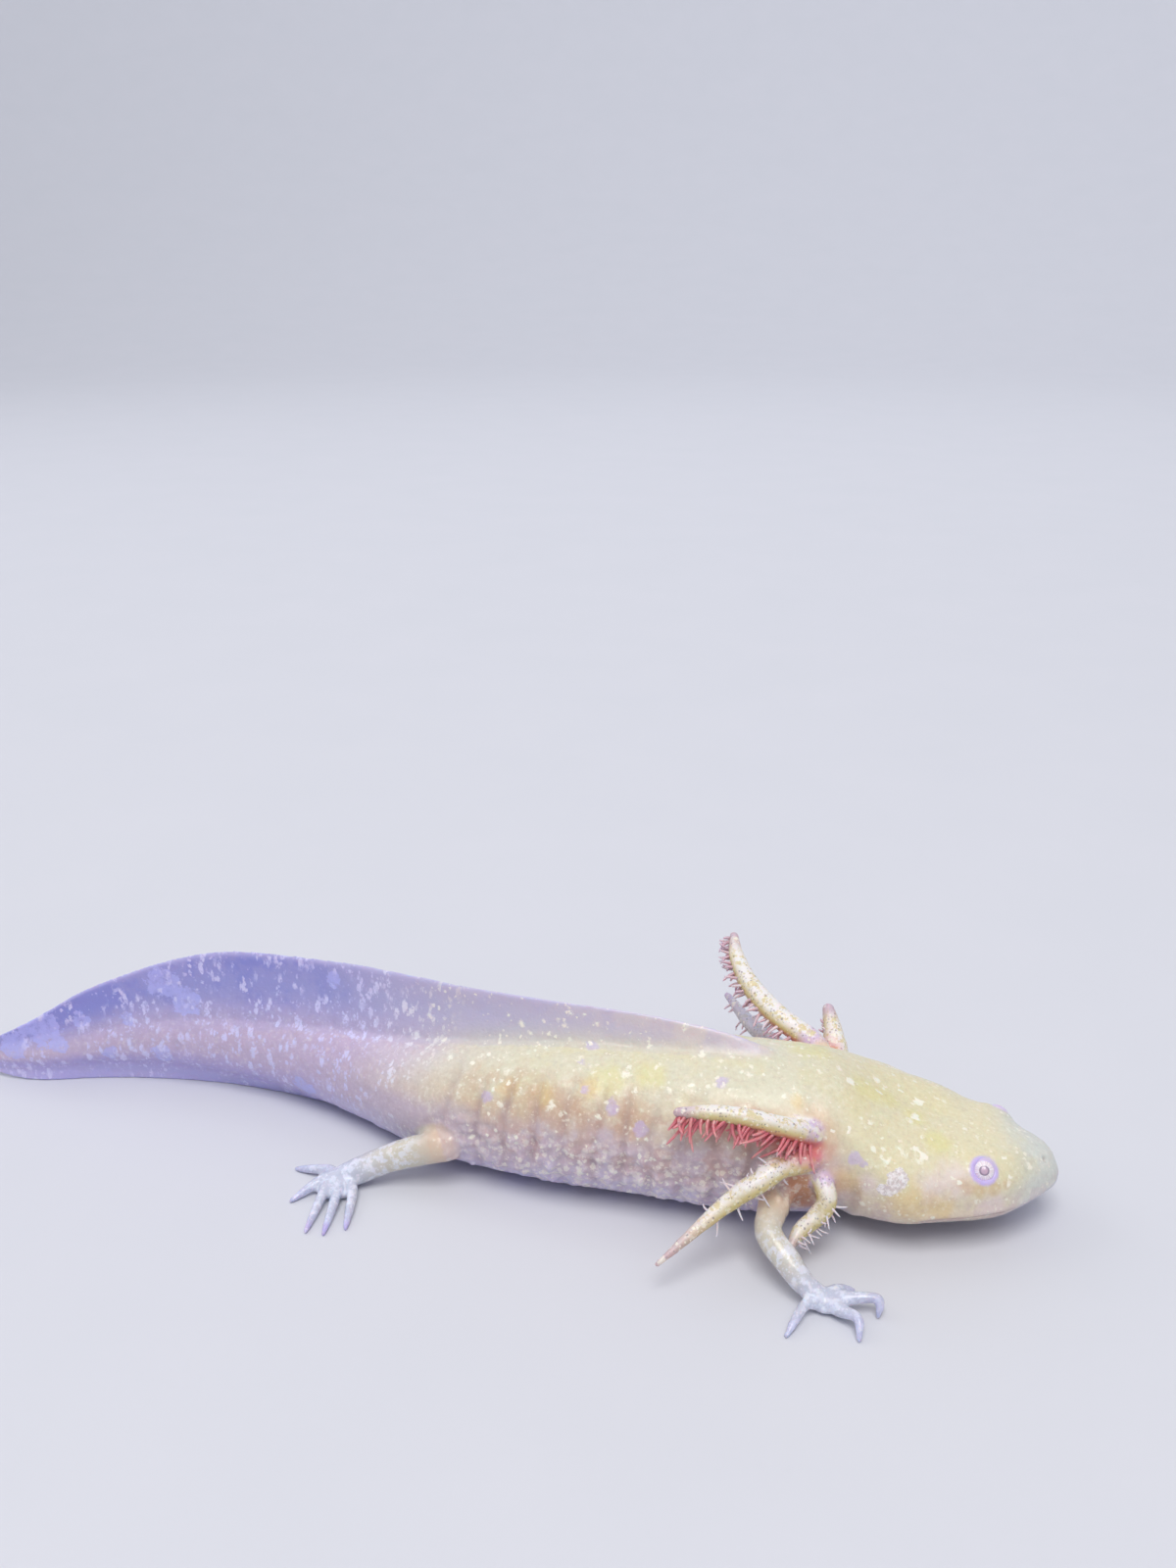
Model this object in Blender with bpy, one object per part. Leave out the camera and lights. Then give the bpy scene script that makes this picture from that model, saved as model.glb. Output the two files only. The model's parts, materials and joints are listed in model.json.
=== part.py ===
"""Axolotl, Ambystoma mexicanum: a golden albino adult at life size, at rest on a floor.

The frame: +X runs along the trunk towards the head, +Y to the animal's left and +Z up.
The origin lies on the floor under the middle of the trunk. The floor is at Z = 0.
"""
import math

import bmesh
import bpy
from mathutils import Vector

MM = 0.001
GAP = 0.3 * MM

# ---- driving dimensions, in millimetres -------------------------------------------------

TAIL_TIP_X = -135.4
SNOUT_X = 85.7
BODY_SIDES = 20
BODY_STEP = 5.0
SNOUT_BEGINS = 74.0
SNOUT_STEP = 2.0

# x, side shift of the midline, height of the axis, half width, rise above and drop below it
BODY_SECTIONS = (
    (TAIL_TIP_X, -0.4, 4.2, 0.35, 0.6, 0.6),
    (-131.0, -1.4, 4.8, 0.7, 1.5, 1.5),
    (-120.0, -0.4, 6.2, 1.4, 2.8, 2.6),
    (-108.0, 3.8, 8.0, 2.2, 4.2, 4.0),
    (-95.0, 7.0, 9.4, 3.1, 5.6, 5.2),
    (-80.0, 8.8, 10.2, 4.3, 7.0, 6.8),
    (-65.0, 8.4, 10.8, 5.6, 8.2, 8.2),
    (-50.0, 6.2, 11.2, 7.4, 9.6, 10.4),
    (-40.0, 4.2, 11.3, 9.4, 10.6, 11.5),
    (-32.0, 2.6, 11.7, 11.4, 11.5, 12.3),
    (-23.0, 0.8, 12.7, 13.0, 12.7, 13.3),
    (-14.0, 0.2, 13.5, 14.2, 13.4, 14.1),
    (-2.0, 0.0, 14.3, 15.2, 14.2, 14.9),
    (11.0, 0.5, 14.6, 15.5, 14.6, 15.2),
    (24.0, 0.6, 15.0, 15.7, 15.0, 15.6),
    (33.0, 1.2, 15.0, 15.6, 15.0, 15.6),
    (39.0, 2.3, 14.7, 15.4, 14.8, 14.9),
    (44.0, 3.8, 13.9, 15.2, 14.4, 13.0),
    (49.0, 5.1, 12.8, 16.6, 13.0, 11.4),
    (54.0, 5.8, 11.8, 17.7, 11.2, 10.2),
    (59.0, 6.1, 11.0, 17.8, 9.7, 9.1),
    (64.0, 6.2, 10.5, 16.6, 8.9, 8.4),
    (69.0, 6.2, 10.2, 14.4, 8.1, 7.8),
    (74.0, 6.6, 10.0, 11.9, 7.2, 7.2),
    (78.5, 7.5, 9.8, 8.9, 6.1, 5.9),
    (82.0, 8.2, 9.7, 6.3, 4.8, 4.5),
    (84.5, 8.6, 9.6, 3.8, 3.0, 2.9),
    (SNOUT_X, 8.8, 9.6, 0.9, 0.7, 0.7),
)
HEAD_SQUARE = 2.35
TRUNK_SQUARE = 2.05
NECK_STARTS = 36.0
HEAD_STARTS = 48.0
BODY_CUTS = (
    ("tail_tip", TAIL_TIP_X, -108.0),
    ("tail_middle", -108.0, -76.0),
    ("tail_base", -76.0, -36.0),
    ("trunk_rear", -36.0, 6.0),
    ("trunk_front", 6.0, NECK_STARTS),
    ("neck", NECK_STARTS, HEAD_STARTS),
)

# x and height of the edge of the upper fin, and of the lower one
UPPER_FIN_EDGE = (
    (-133.6, 6.0), (-130.0, 8.6), (-120.0, 14.4), (-110.0, 20.5), (-100.0, 24.9),
    (-90.0, 28.6), (-80.0, 31.2), (-70.0, 32.3), (-60.0, 33.0), (-50.0, 34.0),
    (-40.0, 34.6), (-30.0, 35.1), (-20.0, 35.5), (-8.0, 35.4), (4.0, 35.2),
    (14.0, 34.6), (24.0, 33.5), (31.0, 31.7), (36.0, 30.4),
)
LOWER_FIN_EDGE = (
    (-133.0, 2.6), (-128.0, 1.2), (-120.0, 0.0), (-80.0, 0.0), (-60.0, 0.0), (-52.0, 0.0),
)
# A fin's root is half this thick at most, or this share of the body's half width
FIN_ROOT_HALF = 0.8
FIN_ROOT_SHARE = 0.3
FIN_EDGE_HALF = 0.3
FIN_LEAST_REACH = 0.5
FIN_STEP = 6.0
UPPER_FIN_CUTS = (
    ("tail_fin_upper_tip", -133.4, -108.0),
    ("tail_fin_upper_middle", -108.0, -76.0),
    ("tail_fin_upper_base", -76.0, -36.0),
    ("dorsal_fin_rear", -36.0, 6.0),
    ("dorsal_fin_front", 6.0, 34.5),
)
LOWER_FIN_CUTS = (
    ("tail_fin_lower_tip", -132.6, -108.0),
    ("tail_fin_lower_middle", -108.0, -76.0),
    ("tail_fin_lower_base", -76.0, -54.0),
)

MOUTH_CORNER_X = 63.0
MOUTH_HEIGHT = 7.0

# Cutting boxes reach this far, beyond every part of the animal
BEYOND = 150.0

EYE_RADIUS = 2.45
BALL_SEGMENTS = 16
EYES = {
    "eye_right": (72.3, -2.7, 14.4),
    "eye_left": (74.4, 15.3, 14.0),
}

# Each gill: the route of its stalk, the radius at each point of the route, the way its
# filaments point, and how many there are and how long
GILLS = {
    "gill_right_upper": dict(
        route=((44.5, -6.0, 19.0), (43.0, -10.0, 21.6), (38.0, -13.4, 24.5), (32.0, -15.0, 26.4),
               (26.0, -16.1, 27.0), (20.6, -16.9, 26.6)),
        radii=(1.6, 1.9, 1.8, 1.6, 1.3, 0.7),
        hang=(-0.35, -0.75, -0.9), filaments=12, length=3.4),
    "gill_right_middle": dict(
        route=((46.5, -6.0, 16.5), (43.6, -11.4, 17.6), (38.9, -14.8, 17.4), (34.8, -18.6, 15.8),
               (29.6, -21.8, 12.2), (20.5, -31.5, 6.0)),
        radii=(1.6, 1.85, 1.95, 1.95, 1.5, 0.45),
        hang=(0.45, -0.5, -0.8), filaments=9, length=2.0),
    "gill_right_lower": dict(
        route=((47.0, -6.5, 13.8), (45.6, -11.4, 13.4), (46.6, -13.6, 11.2), (45.4, -14.6, 8.6),
               (42.6, -17.2, 6.4), (41.2, -20.6, 4.9)),
        radii=(1.5, 1.8, 1.9, 1.8, 1.4, 0.6),
        hang=(0.9, -0.5, -0.3), filaments=7, length=2.0),
    "gill_left_upper": dict(
        route=((42.5, 12.0, 21.0), (40.6, 16.6, 23.4), (32.6, 20.6, 26.4), (26.2, 26.5, 29.0),
               (22.5, 31.5, 32.0), (20.8, 37.2, 34.0)),
        radii=(1.6, 2.2, 2.2, 2.0, 1.6, 0.8),
        hang=(-0.9, -0.1, -0.45), filaments=15, length=3.4),
    "gill_left_middle": dict(
        route=((41.8, 12.0, 13.6), (39.6, 19.4, 15.0), (34.0, 23.8, 16.8), (27.0, 28.6, 18.4),
               (19.6, 39.0, 19.2)),
        radii=(1.6, 1.9, 1.9, 1.6, 0.7),
        hang=(-0.8, -0.3, -0.6), filaments=10, length=2.6),
    "gill_left_lower": dict(
        route=((45.4, 14.0, 17.0), (44.2, 20.6, 19.0), (43.0, 24.8, 21.6), (41.4, 28.6, 24.8)),
        radii=(1.6, 2.0, 1.7, 1.2),
        hang=(-0.9, -0.2, 0.1), filaments=5, length=1.8),
}
GILL_SIDES = 8
FILAMENT_SIDES = 4
FILAMENT_RADIUS = 0.4
FILAMENT_TIP = 0.26
# The stretch of the stalk that bears filaments, as shares of its length
FILAMENTS_FROM = 0.30
FILAMENTS_TO = 0.96
# How far a filament leans along the stalk, how uneven their lengths are, and how deep
# each one starts inside the stalk, as a share of its radius
FILAMENT_LEAN = 0.25
FILAMENT_UNEVEN = 0.25
FILAMENT_SINK = 0.35

# The height of the line of a toe at its tip
TOE_DOWN = 0.4

# Each limb: route and radii from inside the body to the palm, where it is parted, the
# palm's reach, and the tip of each toe
LIMBS = {
    "fore_right": dict(
        names=("upper_arm_right", "forearm_right", "hand_right"),
        route=((36.5, -9.0, 10.5), (37.8, -14.5, 9.8), (37.6, -21.0, 8.4), (41.6, -24.8, 5.8),
               (45.2, -27.0, 3.2), (48.6, -27.2, 1.5)),
        radii=(3.2, 2.8, 2.45, 2.35, 1.9, 1.6),
        parts=(2, 4), palm=(2.4, 2.2, 1.6),
        toes=(((45.3, -30.4, 2.0), (43.2, -36.4, TOE_DOWN)),
              ((51.4, -30.0, 2.0), (54.2, -31.6, 2.4), (54.8, -34.4, TOE_DOWN)),
              ((52.4, -27.4, 2.6), (57.0, -26.6, 2.9), (57.3, -28.0, TOE_DOWN)),
              ((50.4, -25.4, 2.4), (52.8, -22.6, TOE_DOWN)))),
    "fore_left": dict(
        names=("upper_arm_left", "forearm_left", "hand_left"),
        route=((36.5, 9.5, 9.4), (37.4, 17.0, 8.8), (36.0, 24.0, 7.8), (39.8, 27.8, 5.8),
               (43.0, 30.2, 3.2), (46.2, 30.8, 1.5)),
        radii=(3.2, 2.8, 2.45, 2.35, 1.9, 1.6),
        parts=(2, 4), palm=(2.4, 2.2, 1.6),
        toes=(((43.6, 33.4, 2.0), (42.0, 38.4, TOE_DOWN)),
              ((47.4, 33.4, 2.2), (48.4, 36.0, 1.9), (49.0, 39.2, TOE_DOWN)),
              ((49.6, 31.8, 2.2), (52.4, 33.0, 1.9), (54.8, 34.6, TOE_DOWN)),
              ((49.2, 29.0, 2.2), (52.6, 27.6, TOE_DOWN)))),
    "hind_right": dict(
        names=("thigh_right", "shank_right", "foot_right"),
        route=((-20.5, -6.0, 9.6), (-24.5, -11.4, 8.6), (-29.0, -12.6, 7.2), (-35.0, -14.2, 5.2),
               (-40.4, -16.6, 3.0), (-44.0, -18.2, 1.6)),
        radii=(3.3, 3.2, 3.0, 2.6, 2.2, 1.7),
        parts=(2, 4), palm=(3.0, 3.4, 1.7),
        toes=(((-47.2, -16.2, 1.8), (-53.6, -15.6, TOE_DOWN)),
              ((-46.8, -20.0, 1.8), (-50.2, -24.9, TOE_DOWN)),
              ((-44.6, -22.2, 1.8), (-43.8, -32.4, TOE_DOWN)),
              ((-42.2, -22.0, 1.8), (-40.4, -32.2, TOE_DOWN)),
              ((-39.8, -20.6, 1.8), (-37.2, -29.8, TOE_DOWN)))),
    "hind_left": dict(
        names=("thigh_left", "shank_left", "foot_left"),
        route=((-20.5, 7.6, 9.6), (-24.0, 13.8, 8.4), (-28.0, 18.4, 7.0), (-33.0, 21.4, 5.2),
               (-37.6, 24.0, 3.0), (-40.8, 26.0, 1.6)),
        radii=(3.3, 3.2, 3.0, 2.6, 2.2, 1.7),
        parts=(2, 4), palm=(3.0, 3.4, 1.7),
        toes=(((-44.2, 26.0, 1.8), (-50.0, 26.2, TOE_DOWN)),
              ((-43.4, 28.4, 1.8), (-48.6, 32.6, TOE_DOWN)),
              ((-41.4, 30.0, 1.8), (-44.0, 38.6, TOE_DOWN)),
              ((-38.8, 30.0, 1.8), (-38.4, 38.6, TOE_DOWN)),
              ((-36.4, 28.4, 1.8), (-33.6, 34.6, TOE_DOWN)))),
}
LIMB_SIDES = 10
TOE_SIDES = 6
# Where a toe starts inside the palm, as a share of the way to its first point
TOE_SINK = 0.25
TOE_ROOT = 1.1
TOE_TIP = 0.45

# Edges that turn by more than this many degrees stay sharp
SHARP_EDGE = 50.0
# Points closer than this are one point
SAME_POINT = 0.004 * MM

# ---- materials: colour, roughness -------------------------------------------------------

FINISHES = {
    "golden_skin": ((0.86, 0.80, 0.55), 0.35),
    "fin_skin": ((0.66, 0.62, 0.80), 0.30),
    "gill_skin": ((0.85, 0.70, 0.66), 0.35),
    "eye_lens": ((0.86, 0.78, 0.90), 0.08),
}


def material(name):
    """A Principled material with the finish of that name."""
    found = bpy.data.materials.get(name)
    if found:
        return found
    color, roughness = FINISHES[name]
    made = bpy.data.materials.new(name)
    made.use_nodes = True
    shader = made.node_tree.nodes["Principled BSDF"]
    shader.inputs["Base Color"].default_value = (*color, 1.0)
    shader.inputs["Roughness"].default_value = roughness
    shader.inputs["Metallic"].default_value = 0.0
    made.diffuse_color = (*color, 1.0)
    return made


# ---- curves through the dimensions ------------------------------------------------------

def slope(rows, index, column):
    """The slope of a column at one row, from the rows on each side of it."""
    before = rows[max(index - 1, 0)]
    after = rows[min(index + 1, len(rows) - 1)]
    return (after[column] - before[column]) / (after[0] - before[0])


def read_at(rows, x):
    """Every column of a table at x, on a smooth curve through the rows."""
    x = min(max(x, rows[0][0]), rows[-1][0])
    index = 0
    while index < len(rows) - 2 and rows[index + 1][0] <= x:
        index += 1
    here, there = rows[index], rows[index + 1]
    span = there[0] - here[0]
    t = (x - here[0]) / span
    values = []
    for column in range(1, len(here)):
        a, b = here[column], there[column]
        slope_a = slope(rows, index, column) * span
        slope_b = slope(rows, index + 1, column) * span
        values.append(
            (2 * t ** 3 - 3 * t ** 2 + 1) * a + (t ** 3 - 2 * t ** 2 + t) * slope_a
            + (3 * t ** 2 - 2 * t ** 3) * b + (t ** 3 - t ** 2) * slope_b
        )
    return values


def midline(x):
    """The body's midline at x, and the level direction square to it, to the left."""
    step = 0.5
    side = read_at(BODY_SECTIONS, x)[0]
    turn = read_at(BODY_SECTIONS, x + step)[0] - read_at(BODY_SECTIONS, x - step)[0]
    across = Vector((-turn / (2 * step), 1.0, 0.0)).normalized()
    return Vector((x, side, 0.0)), across


def stations(start, end, step):
    """Places from start to end, evenly spaced about a step apart, with both ends."""
    count = max(1, round((end - start) / step))
    return [start + (end - start) * i / count for i in range(count + 1)]


# ---- solids -----------------------------------------------------------------------------

def loft(rings):
    """A closed mesh through rings of the same count, with flat ends."""
    mesh = bmesh.new()
    rows = [[mesh.verts.new(Vector(point) * MM) for point in ring] for ring in rings]
    count = len(rows[0])
    for row, following in zip(rows, rows[1:]):
        for i in range(count):
            j = (i + 1) % count
            mesh.faces.new((row[i], row[j], following[j], following[i]))
    mesh.faces.new(rows[0])
    mesh.faces.new(rows[-1])
    bmesh.ops.recalc_face_normals(mesh, faces=mesh.faces)
    return mesh


def body_ring(x, grow=0.0, floor=True):
    """One upright section of the body, a squared ellipse, grown on every side."""
    centre, across = midline(x)
    _, height, half, rise, drop = read_at(BODY_SECTIONS, x)
    blend = min(max((x - NECK_STARTS) / (HEAD_STARTS - NECK_STARTS), 0.0), 1.0)
    power = 2.0 / (TRUNK_SQUARE + (HEAD_SQUARE - TRUNK_SQUARE) * blend)
    ring = []
    for i in range(BODY_SIDES):
        angle = 2 * math.pi * (i + 0.5) / BODY_SIDES
        level, up = math.cos(angle), math.sin(angle)
        out = math.copysign(abs(level) ** power, level) * (half + grow)
        reach = rise if up > 0 else drop
        lift = math.copysign(abs(up) ** power, up) * (reach + grow)
        point = centre + across * out
        point.z = height + lift
        if floor:
            point.z = max(point.z, 0.0)
        ring.append(point)
    return ring


def head_places(start):
    """The sections of the head, closer together where the snout rounds off."""
    return stations(start, SNOUT_BEGINS, BODY_STEP) + stations(SNOUT_BEGINS, SNOUT_X, SNOUT_STEP)[1:]


def body_mesh(places, grow=0.0, floor=True):
    """The body through its sections at these places."""
    return loft([body_ring(x, grow, floor) for x in places])


def new_object(name, mesh, finish, group):
    """An object of this mesh in the group, shaded smooth."""
    data = bpy.data.meshes.new(name)
    bmesh.ops.triangulate(mesh, faces=mesh.faces)
    mesh.to_mesh(data)
    mesh.free()
    if finish:
        data.materials.append(material(finish))
    made = bpy.data.objects.new(name, data)
    group.objects.link(made)
    data.shade_smooth()
    data.set_sharp_from_angle(angle=math.radians(SHARP_EDGE))
    return made


def tube(route, radii, sides):
    """A closed tapered tube along a route, from a curve with a bevel and filled caps."""
    curve = bpy.data.curves.new("tube", "CURVE")
    curve.dimensions = "3D"
    curve.bevel_depth = MM
    curve.bevel_resolution = max(0, sides // 2 - 2)
    curve.use_fill_caps = True
    line = curve.splines.new("POLY")
    line.points.add(len(route) - 1)
    for point, place, radius in zip(line.points, route, radii):
        point.co = (*(Vector(place) * MM), 1.0)
        point.radius = radius
    guide = bpy.data.objects.new("tube", curve)
    bpy.context.scene.collection.objects.link(guide)
    evaluated = guide.evaluated_get(bpy.context.evaluated_depsgraph_get())
    data = bpy.data.meshes.new_from_object(evaluated)
    mesh = bmesh.new()
    mesh.from_mesh(data)
    bmesh.ops.remove_doubles(mesh, verts=mesh.verts, dist=SAME_POINT)
    bmesh.ops.recalc_face_normals(mesh, faces=mesh.faces)
    bpy.data.objects.remove(guide)
    bpy.data.curves.remove(curve)
    bpy.data.meshes.remove(data)
    return mesh


def smooth_route(route, radii, parts):
    """A route and its radii with more points, on a smooth curve through the given ones."""
    rows = [(i, *point, radius) for i, (point, radius) in enumerate(zip(route, radii))]
    count = (len(rows) - 1) * parts
    dense = [read_at(rows, (len(rows) - 1) * i / count) for i in range(count + 1)]
    return [row[:3] for row in dense], [row[3] for row in dense]


def boolean(target, cutter, operation):
    """Cut or join two objects for good, and remove the cutter."""
    step = target.modifiers.new(operation.lower(), "BOOLEAN")
    step.operation = operation
    step.solver = "EXACT"
    step.object = cutter
    evaluated = target.evaluated_get(bpy.context.evaluated_depsgraph_get())
    data = bpy.data.meshes.new_from_object(evaluated)
    target.modifiers.clear()
    old = target.data
    data.name = old.name
    target.data = data
    bpy.data.meshes.remove(old)
    bpy.data.objects.remove(cutter)
    mesh = bmesh.new()
    mesh.from_mesh(data)
    bmesh.ops.remove_doubles(mesh, verts=mesh.verts, dist=SAME_POINT)
    bmesh.ops.dissolve_degenerate(mesh, edges=mesh.edges, dist=SAME_POINT)
    mesh.to_mesh(data)
    mesh.free()


def slab(low, high, group):
    """A box from its low corner to its high corner, as a cutter."""
    mesh = bmesh.new()
    bmesh.ops.create_cube(mesh, size=1.0)
    low, high = Vector(low) * MM, Vector(high) * MM
    size = high - low
    bmesh.ops.scale(mesh, vec=size, verts=mesh.verts)
    bmesh.ops.translate(mesh, vec=(low + high) / 2, verts=mesh.verts)
    made = new_object("cutter", mesh, None, group)
    hide(made)
    return made


def hide(cutter):
    """Mark an object as a cutter, which is no part of the model."""
    cutter.hide_render = True
    cutter.display_type = "WIRE"


def keep_side(source, name, finish, group, planes):
    """A copy of an object's mesh, cut off by planes: what is behind each one is kept."""
    mesh = bmesh.new()
    mesh.from_mesh(source.data)
    for point, normal in planes:
        geometry = mesh.verts[:] + mesh.edges[:] + mesh.faces[:]
        cut = bmesh.ops.bisect_plane(
            mesh, geom=geometry, plane_co=Vector(point) * MM, plane_no=normal,
            clear_outer=True, dist=0.001 * MM)
        edges = [item for item in cut["geom_cut"] if isinstance(item, bmesh.types.BMEdge)]
        bmesh.ops.holes_fill(mesh, edges=edges)
    bmesh.ops.recalc_face_normals(mesh, faces=mesh.faces)
    return new_object(name, mesh, finish, group)


# ---- body, fins, head -------------------------------------------------------------------

def build_body(parts):
    """The neck, the trunk and the muscular middle of the tail, each in its lengths."""
    half_gap = GAP / MM / 2
    for name, start, end in BODY_CUTS:
        first = start if start == TAIL_TIP_X else start + half_gap
        places = stations(first, end - half_gap, BODY_STEP)
        new_object(name, body_mesh(places), "golden_skin", parts)


def fin_ring(x, low, high, root_half, edge_half):
    """One upright section of a fin, thick at its root and thin at its edge."""
    centre, across = midline(x)
    ring = []
    for side, level, half in ((-1, low, root_half), (-1, high, edge_half),
                              (1, high, edge_half), (1, low, root_half)):
        point = centre + across * (side * half)
        point.z = level
        ring.append(point)
    return ring


def fin_root_half(x):
    """Half the thickness of a fin where it grows out of the body."""
    half = read_at(BODY_SECTIONS, x)[2]
    return max(FIN_EDGE_HALF, min(FIN_ROOT_HALF, FIN_ROOT_SHARE * half))


def build_fins(parts):
    """The upper fin along the back and tail, and the lower one under the tail."""
    gap = GAP / MM
    for name, start, end in UPPER_FIN_CUTS:
        rings = []
        for x in stations(start + gap / 2, end - gap / 2, FIN_STEP):
            _, height, _, rise, _ = read_at(BODY_SECTIONS, x)
            root = height + rise + gap
            edge = max(read_at(UPPER_FIN_EDGE, x)[0], root + FIN_LEAST_REACH)
            rings.append(fin_ring(x, root, edge, fin_root_half(x), FIN_EDGE_HALF))
        new_object(name, loft(rings), "fin_skin", parts)
    for name, start, end in LOWER_FIN_CUTS:
        rings = []
        for x in stations(start + gap / 2, end - gap / 2, FIN_STEP):
            _, height, _, _, drop = read_at(BODY_SECTIONS, x)
            root = height - drop - gap
            edge = min(max(read_at(LOWER_FIN_EDGE, x)[0], 0.0), root - FIN_LEAST_REACH)
            rings.append(fin_ring(x, root, edge, fin_root_half(x), FIN_EDGE_HALF))
        new_object(name, loft(rings), "fin_skin", parts)


def ball(name, centre, radius, finish, group):
    """A sphere."""
    mesh = bmesh.new()
    bmesh.ops.create_uvsphere(
        mesh, u_segments=BALL_SEGMENTS, v_segments=BALL_SEGMENTS // 2, radius=radius * MM)
    bmesh.ops.translate(mesh, vec=Vector(centre) * MM, verts=mesh.verts)
    return new_object(name, mesh, finish, group)


def build_head(parts, cutters):
    """The head with its sockets, the lower jaw below the mouth line, and both eyes."""
    gap = GAP / MM
    places = head_places(HEAD_STARTS + gap / 2)
    head = new_object("head", body_mesh(places), "golden_skin", parts)
    jaw = new_object("lower_jaw", body_mesh(places), "golden_skin", parts)
    mouth = slab((MOUTH_CORNER_X, -BEYOND, -BEYOND), (BEYOND, BEYOND, MOUTH_HEIGHT), cutters)
    boolean(head, mouth, "DIFFERENCE")
    under = slab((MOUTH_CORNER_X + gap, -BEYOND, -BEYOND), (BEYOND, BEYOND, MOUTH_HEIGHT - gap), cutters)
    boolean(jaw, under, "INTERSECT")
    for name, centre in EYES.items():
        socket = ball("socket", centre, EYE_RADIUS + gap, None, cutters)
        hide(socket)
        boolean(head, socket, "DIFFERENCE")
        ball(name, centre, EYE_RADIUS, "eye_lens", parts)


# ---- gills and limbs --------------------------------------------------------------------

def grown_body(cutters, grow):
    """The whole body a little larger, to trim what grows out of it."""
    places = []
    for _, start, end in BODY_CUTS:
        places += stations(start, end, BODY_STEP)[:-1]
    places += head_places(HEAD_STARTS)
    made = new_object("grown_body", body_mesh(places, grow, floor=False), None, cutters)
    hide(made)
    return made


def add_filaments(gill, route, radii, spec, cutters):
    """A row of short tapered filaments along the underside of a gill's stalk."""
    hang = Vector(spec["hang"]).normalized()
    last = len(route) - 1
    for i in range(spec["filaments"]):
        along = FILAMENTS_FROM + (FILAMENTS_TO - FILAMENTS_FROM) * i / (spec["filaments"] - 1)
        index = min(int(along * last), last - 1)
        part = along * last - index
        place = Vector(route[index]).lerp(Vector(route[index + 1]), part)
        radius = radii[index] + (radii[index + 1] - radii[index]) * part
        stalk = (Vector(route[index + 1]) - Vector(route[index])).normalized()
        lean = (hang - stalk * hang.dot(stalk) + stalk * FILAMENT_LEAN).normalized()
        reach = spec["length"] * (1 - FILAMENT_UNEVEN + FILAMENT_UNEVEN * math.sin(2.4 * i))
        root = place + lean * (radius * FILAMENT_SINK)
        tip = place + lean * (radius + reach)
        spike_mesh = tube((root, tip), (FILAMENT_RADIUS, FILAMENT_TIP), FILAMENT_SIDES)
        spike = new_object("filament", spike_mesh, None, cutters)
        hide(spike)
        boolean(gill, spike, "UNION")


def build_gills(parts, cutters):
    """Six gills: a tapered stalk each, with filaments on it, trimmed where it leaves the neck."""
    for name, spec in GILLS.items():
        route, radii = smooth_route(spec["route"], spec["radii"], 2)
        gill = new_object(name, tube(route, radii, GILL_SIDES), "gill_skin", parts)
        add_filaments(gill, route, radii, spec, cutters)
        boolean(gill, grown_body(cutters, GAP / MM), "DIFFERENCE")


def add_palm(limb, spec, cutters):
    """The flat of the hand or foot at the limb's end, with its toes."""
    centre = Vector(spec["route"][-1])
    mesh = bmesh.new()
    bmesh.ops.create_icosphere(mesh, subdivisions=2, radius=MM)
    bmesh.ops.scale(mesh, vec=spec["palm"], verts=mesh.verts)
    bmesh.ops.translate(mesh, vec=centre * MM, verts=mesh.verts)
    palm = new_object("palm", mesh, None, cutters)
    hide(palm)
    boolean(limb, palm, "UNION")
    for toe in spec["toes"]:
        root = centre.lerp(Vector(toe[0]), TOE_SINK)
        route = [root, *toe]
        last = len(route) - 1
        radii = [TOE_ROOT + (TOE_TIP - TOE_ROOT) * i / last for i in range(last + 1)]
        finger = new_object("toe", tube(route, radii, TOE_SIDES), None, cutters)
        hide(finger)
        boolean(limb, finger, "UNION")


def build_limb(spec, parts, cutters):
    """One leg: a bent tapered tube with its palm and toes, parted at its two joints."""
    route, radii = smooth_route(spec["route"], spec["radii"], 2)
    limb = new_object("limb", tube(route, radii, LIMB_SIDES), None, cutters)
    hide(limb)
    add_palm(limb, spec, cutters)
    boolean(limb, grown_body(cutters, GAP / MM), "DIFFERENCE")
    boolean(limb, slab((-BEYOND, -BEYOND, -BEYOND), (BEYOND, BEYOND, 0), cutters), "DIFFERENCE")
    planes = []
    for index in spec["parts"]:
        before, after = spec["route"][index - 1], spec["route"][index + 1]
        planes.append((Vector(spec["route"][index]), (Vector(after) - Vector(before)).normalized()))
    (upper, along_upper), (lower, along_lower) = planes
    half = GAP / MM / 2
    first, second, third = spec["names"]
    keep_side(limb, first, "golden_skin", parts, [(upper - along_upper * half, along_upper)])
    keep_side(limb, second, "golden_skin", parts,
              [(upper + along_upper * half, -along_upper), (lower - along_lower * half, along_lower)])
    keep_side(limb, third, "golden_skin", parts, [(lower + along_lower * half, -along_lower)])
    bpy.data.objects.remove(limb)


def main():
    """Build every part of the animal into one collection."""
    for item in list(bpy.data.objects):
        bpy.data.objects.remove(item)
    parts = bpy.data.collections.new("axolotl")
    cutters = bpy.data.collections.new("cutters")
    bpy.context.scene.collection.children.link(parts)
    bpy.context.scene.collection.children.link(cutters)
    build_body(parts)
    build_fins(parts)
    build_head(parts, cutters)
    build_gills(parts, cutters)
    for spec in LIMBS.values():
        build_limb(spec, parts, cutters)


main()
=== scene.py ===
# %% [markdown]
# # A golden albino axolotl, life size
# The solids of this animal were settled before this script: one closed solid for each length of
# body, fin, leg and gill. This lesson dresses them. Flesh has no seams, so one skin is grown over
# all of those solids; the eyes and the feathery gill filaments stay pieces of their own.
# Lengths in the tables are in millimetres, as an animal is measured, and MM turns them to metres.

# %% Load the solids and remember their box
import json
import math
from types import SimpleNamespace

import bpy
import numpy as np
from mathutils import Matrix, Vector

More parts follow.
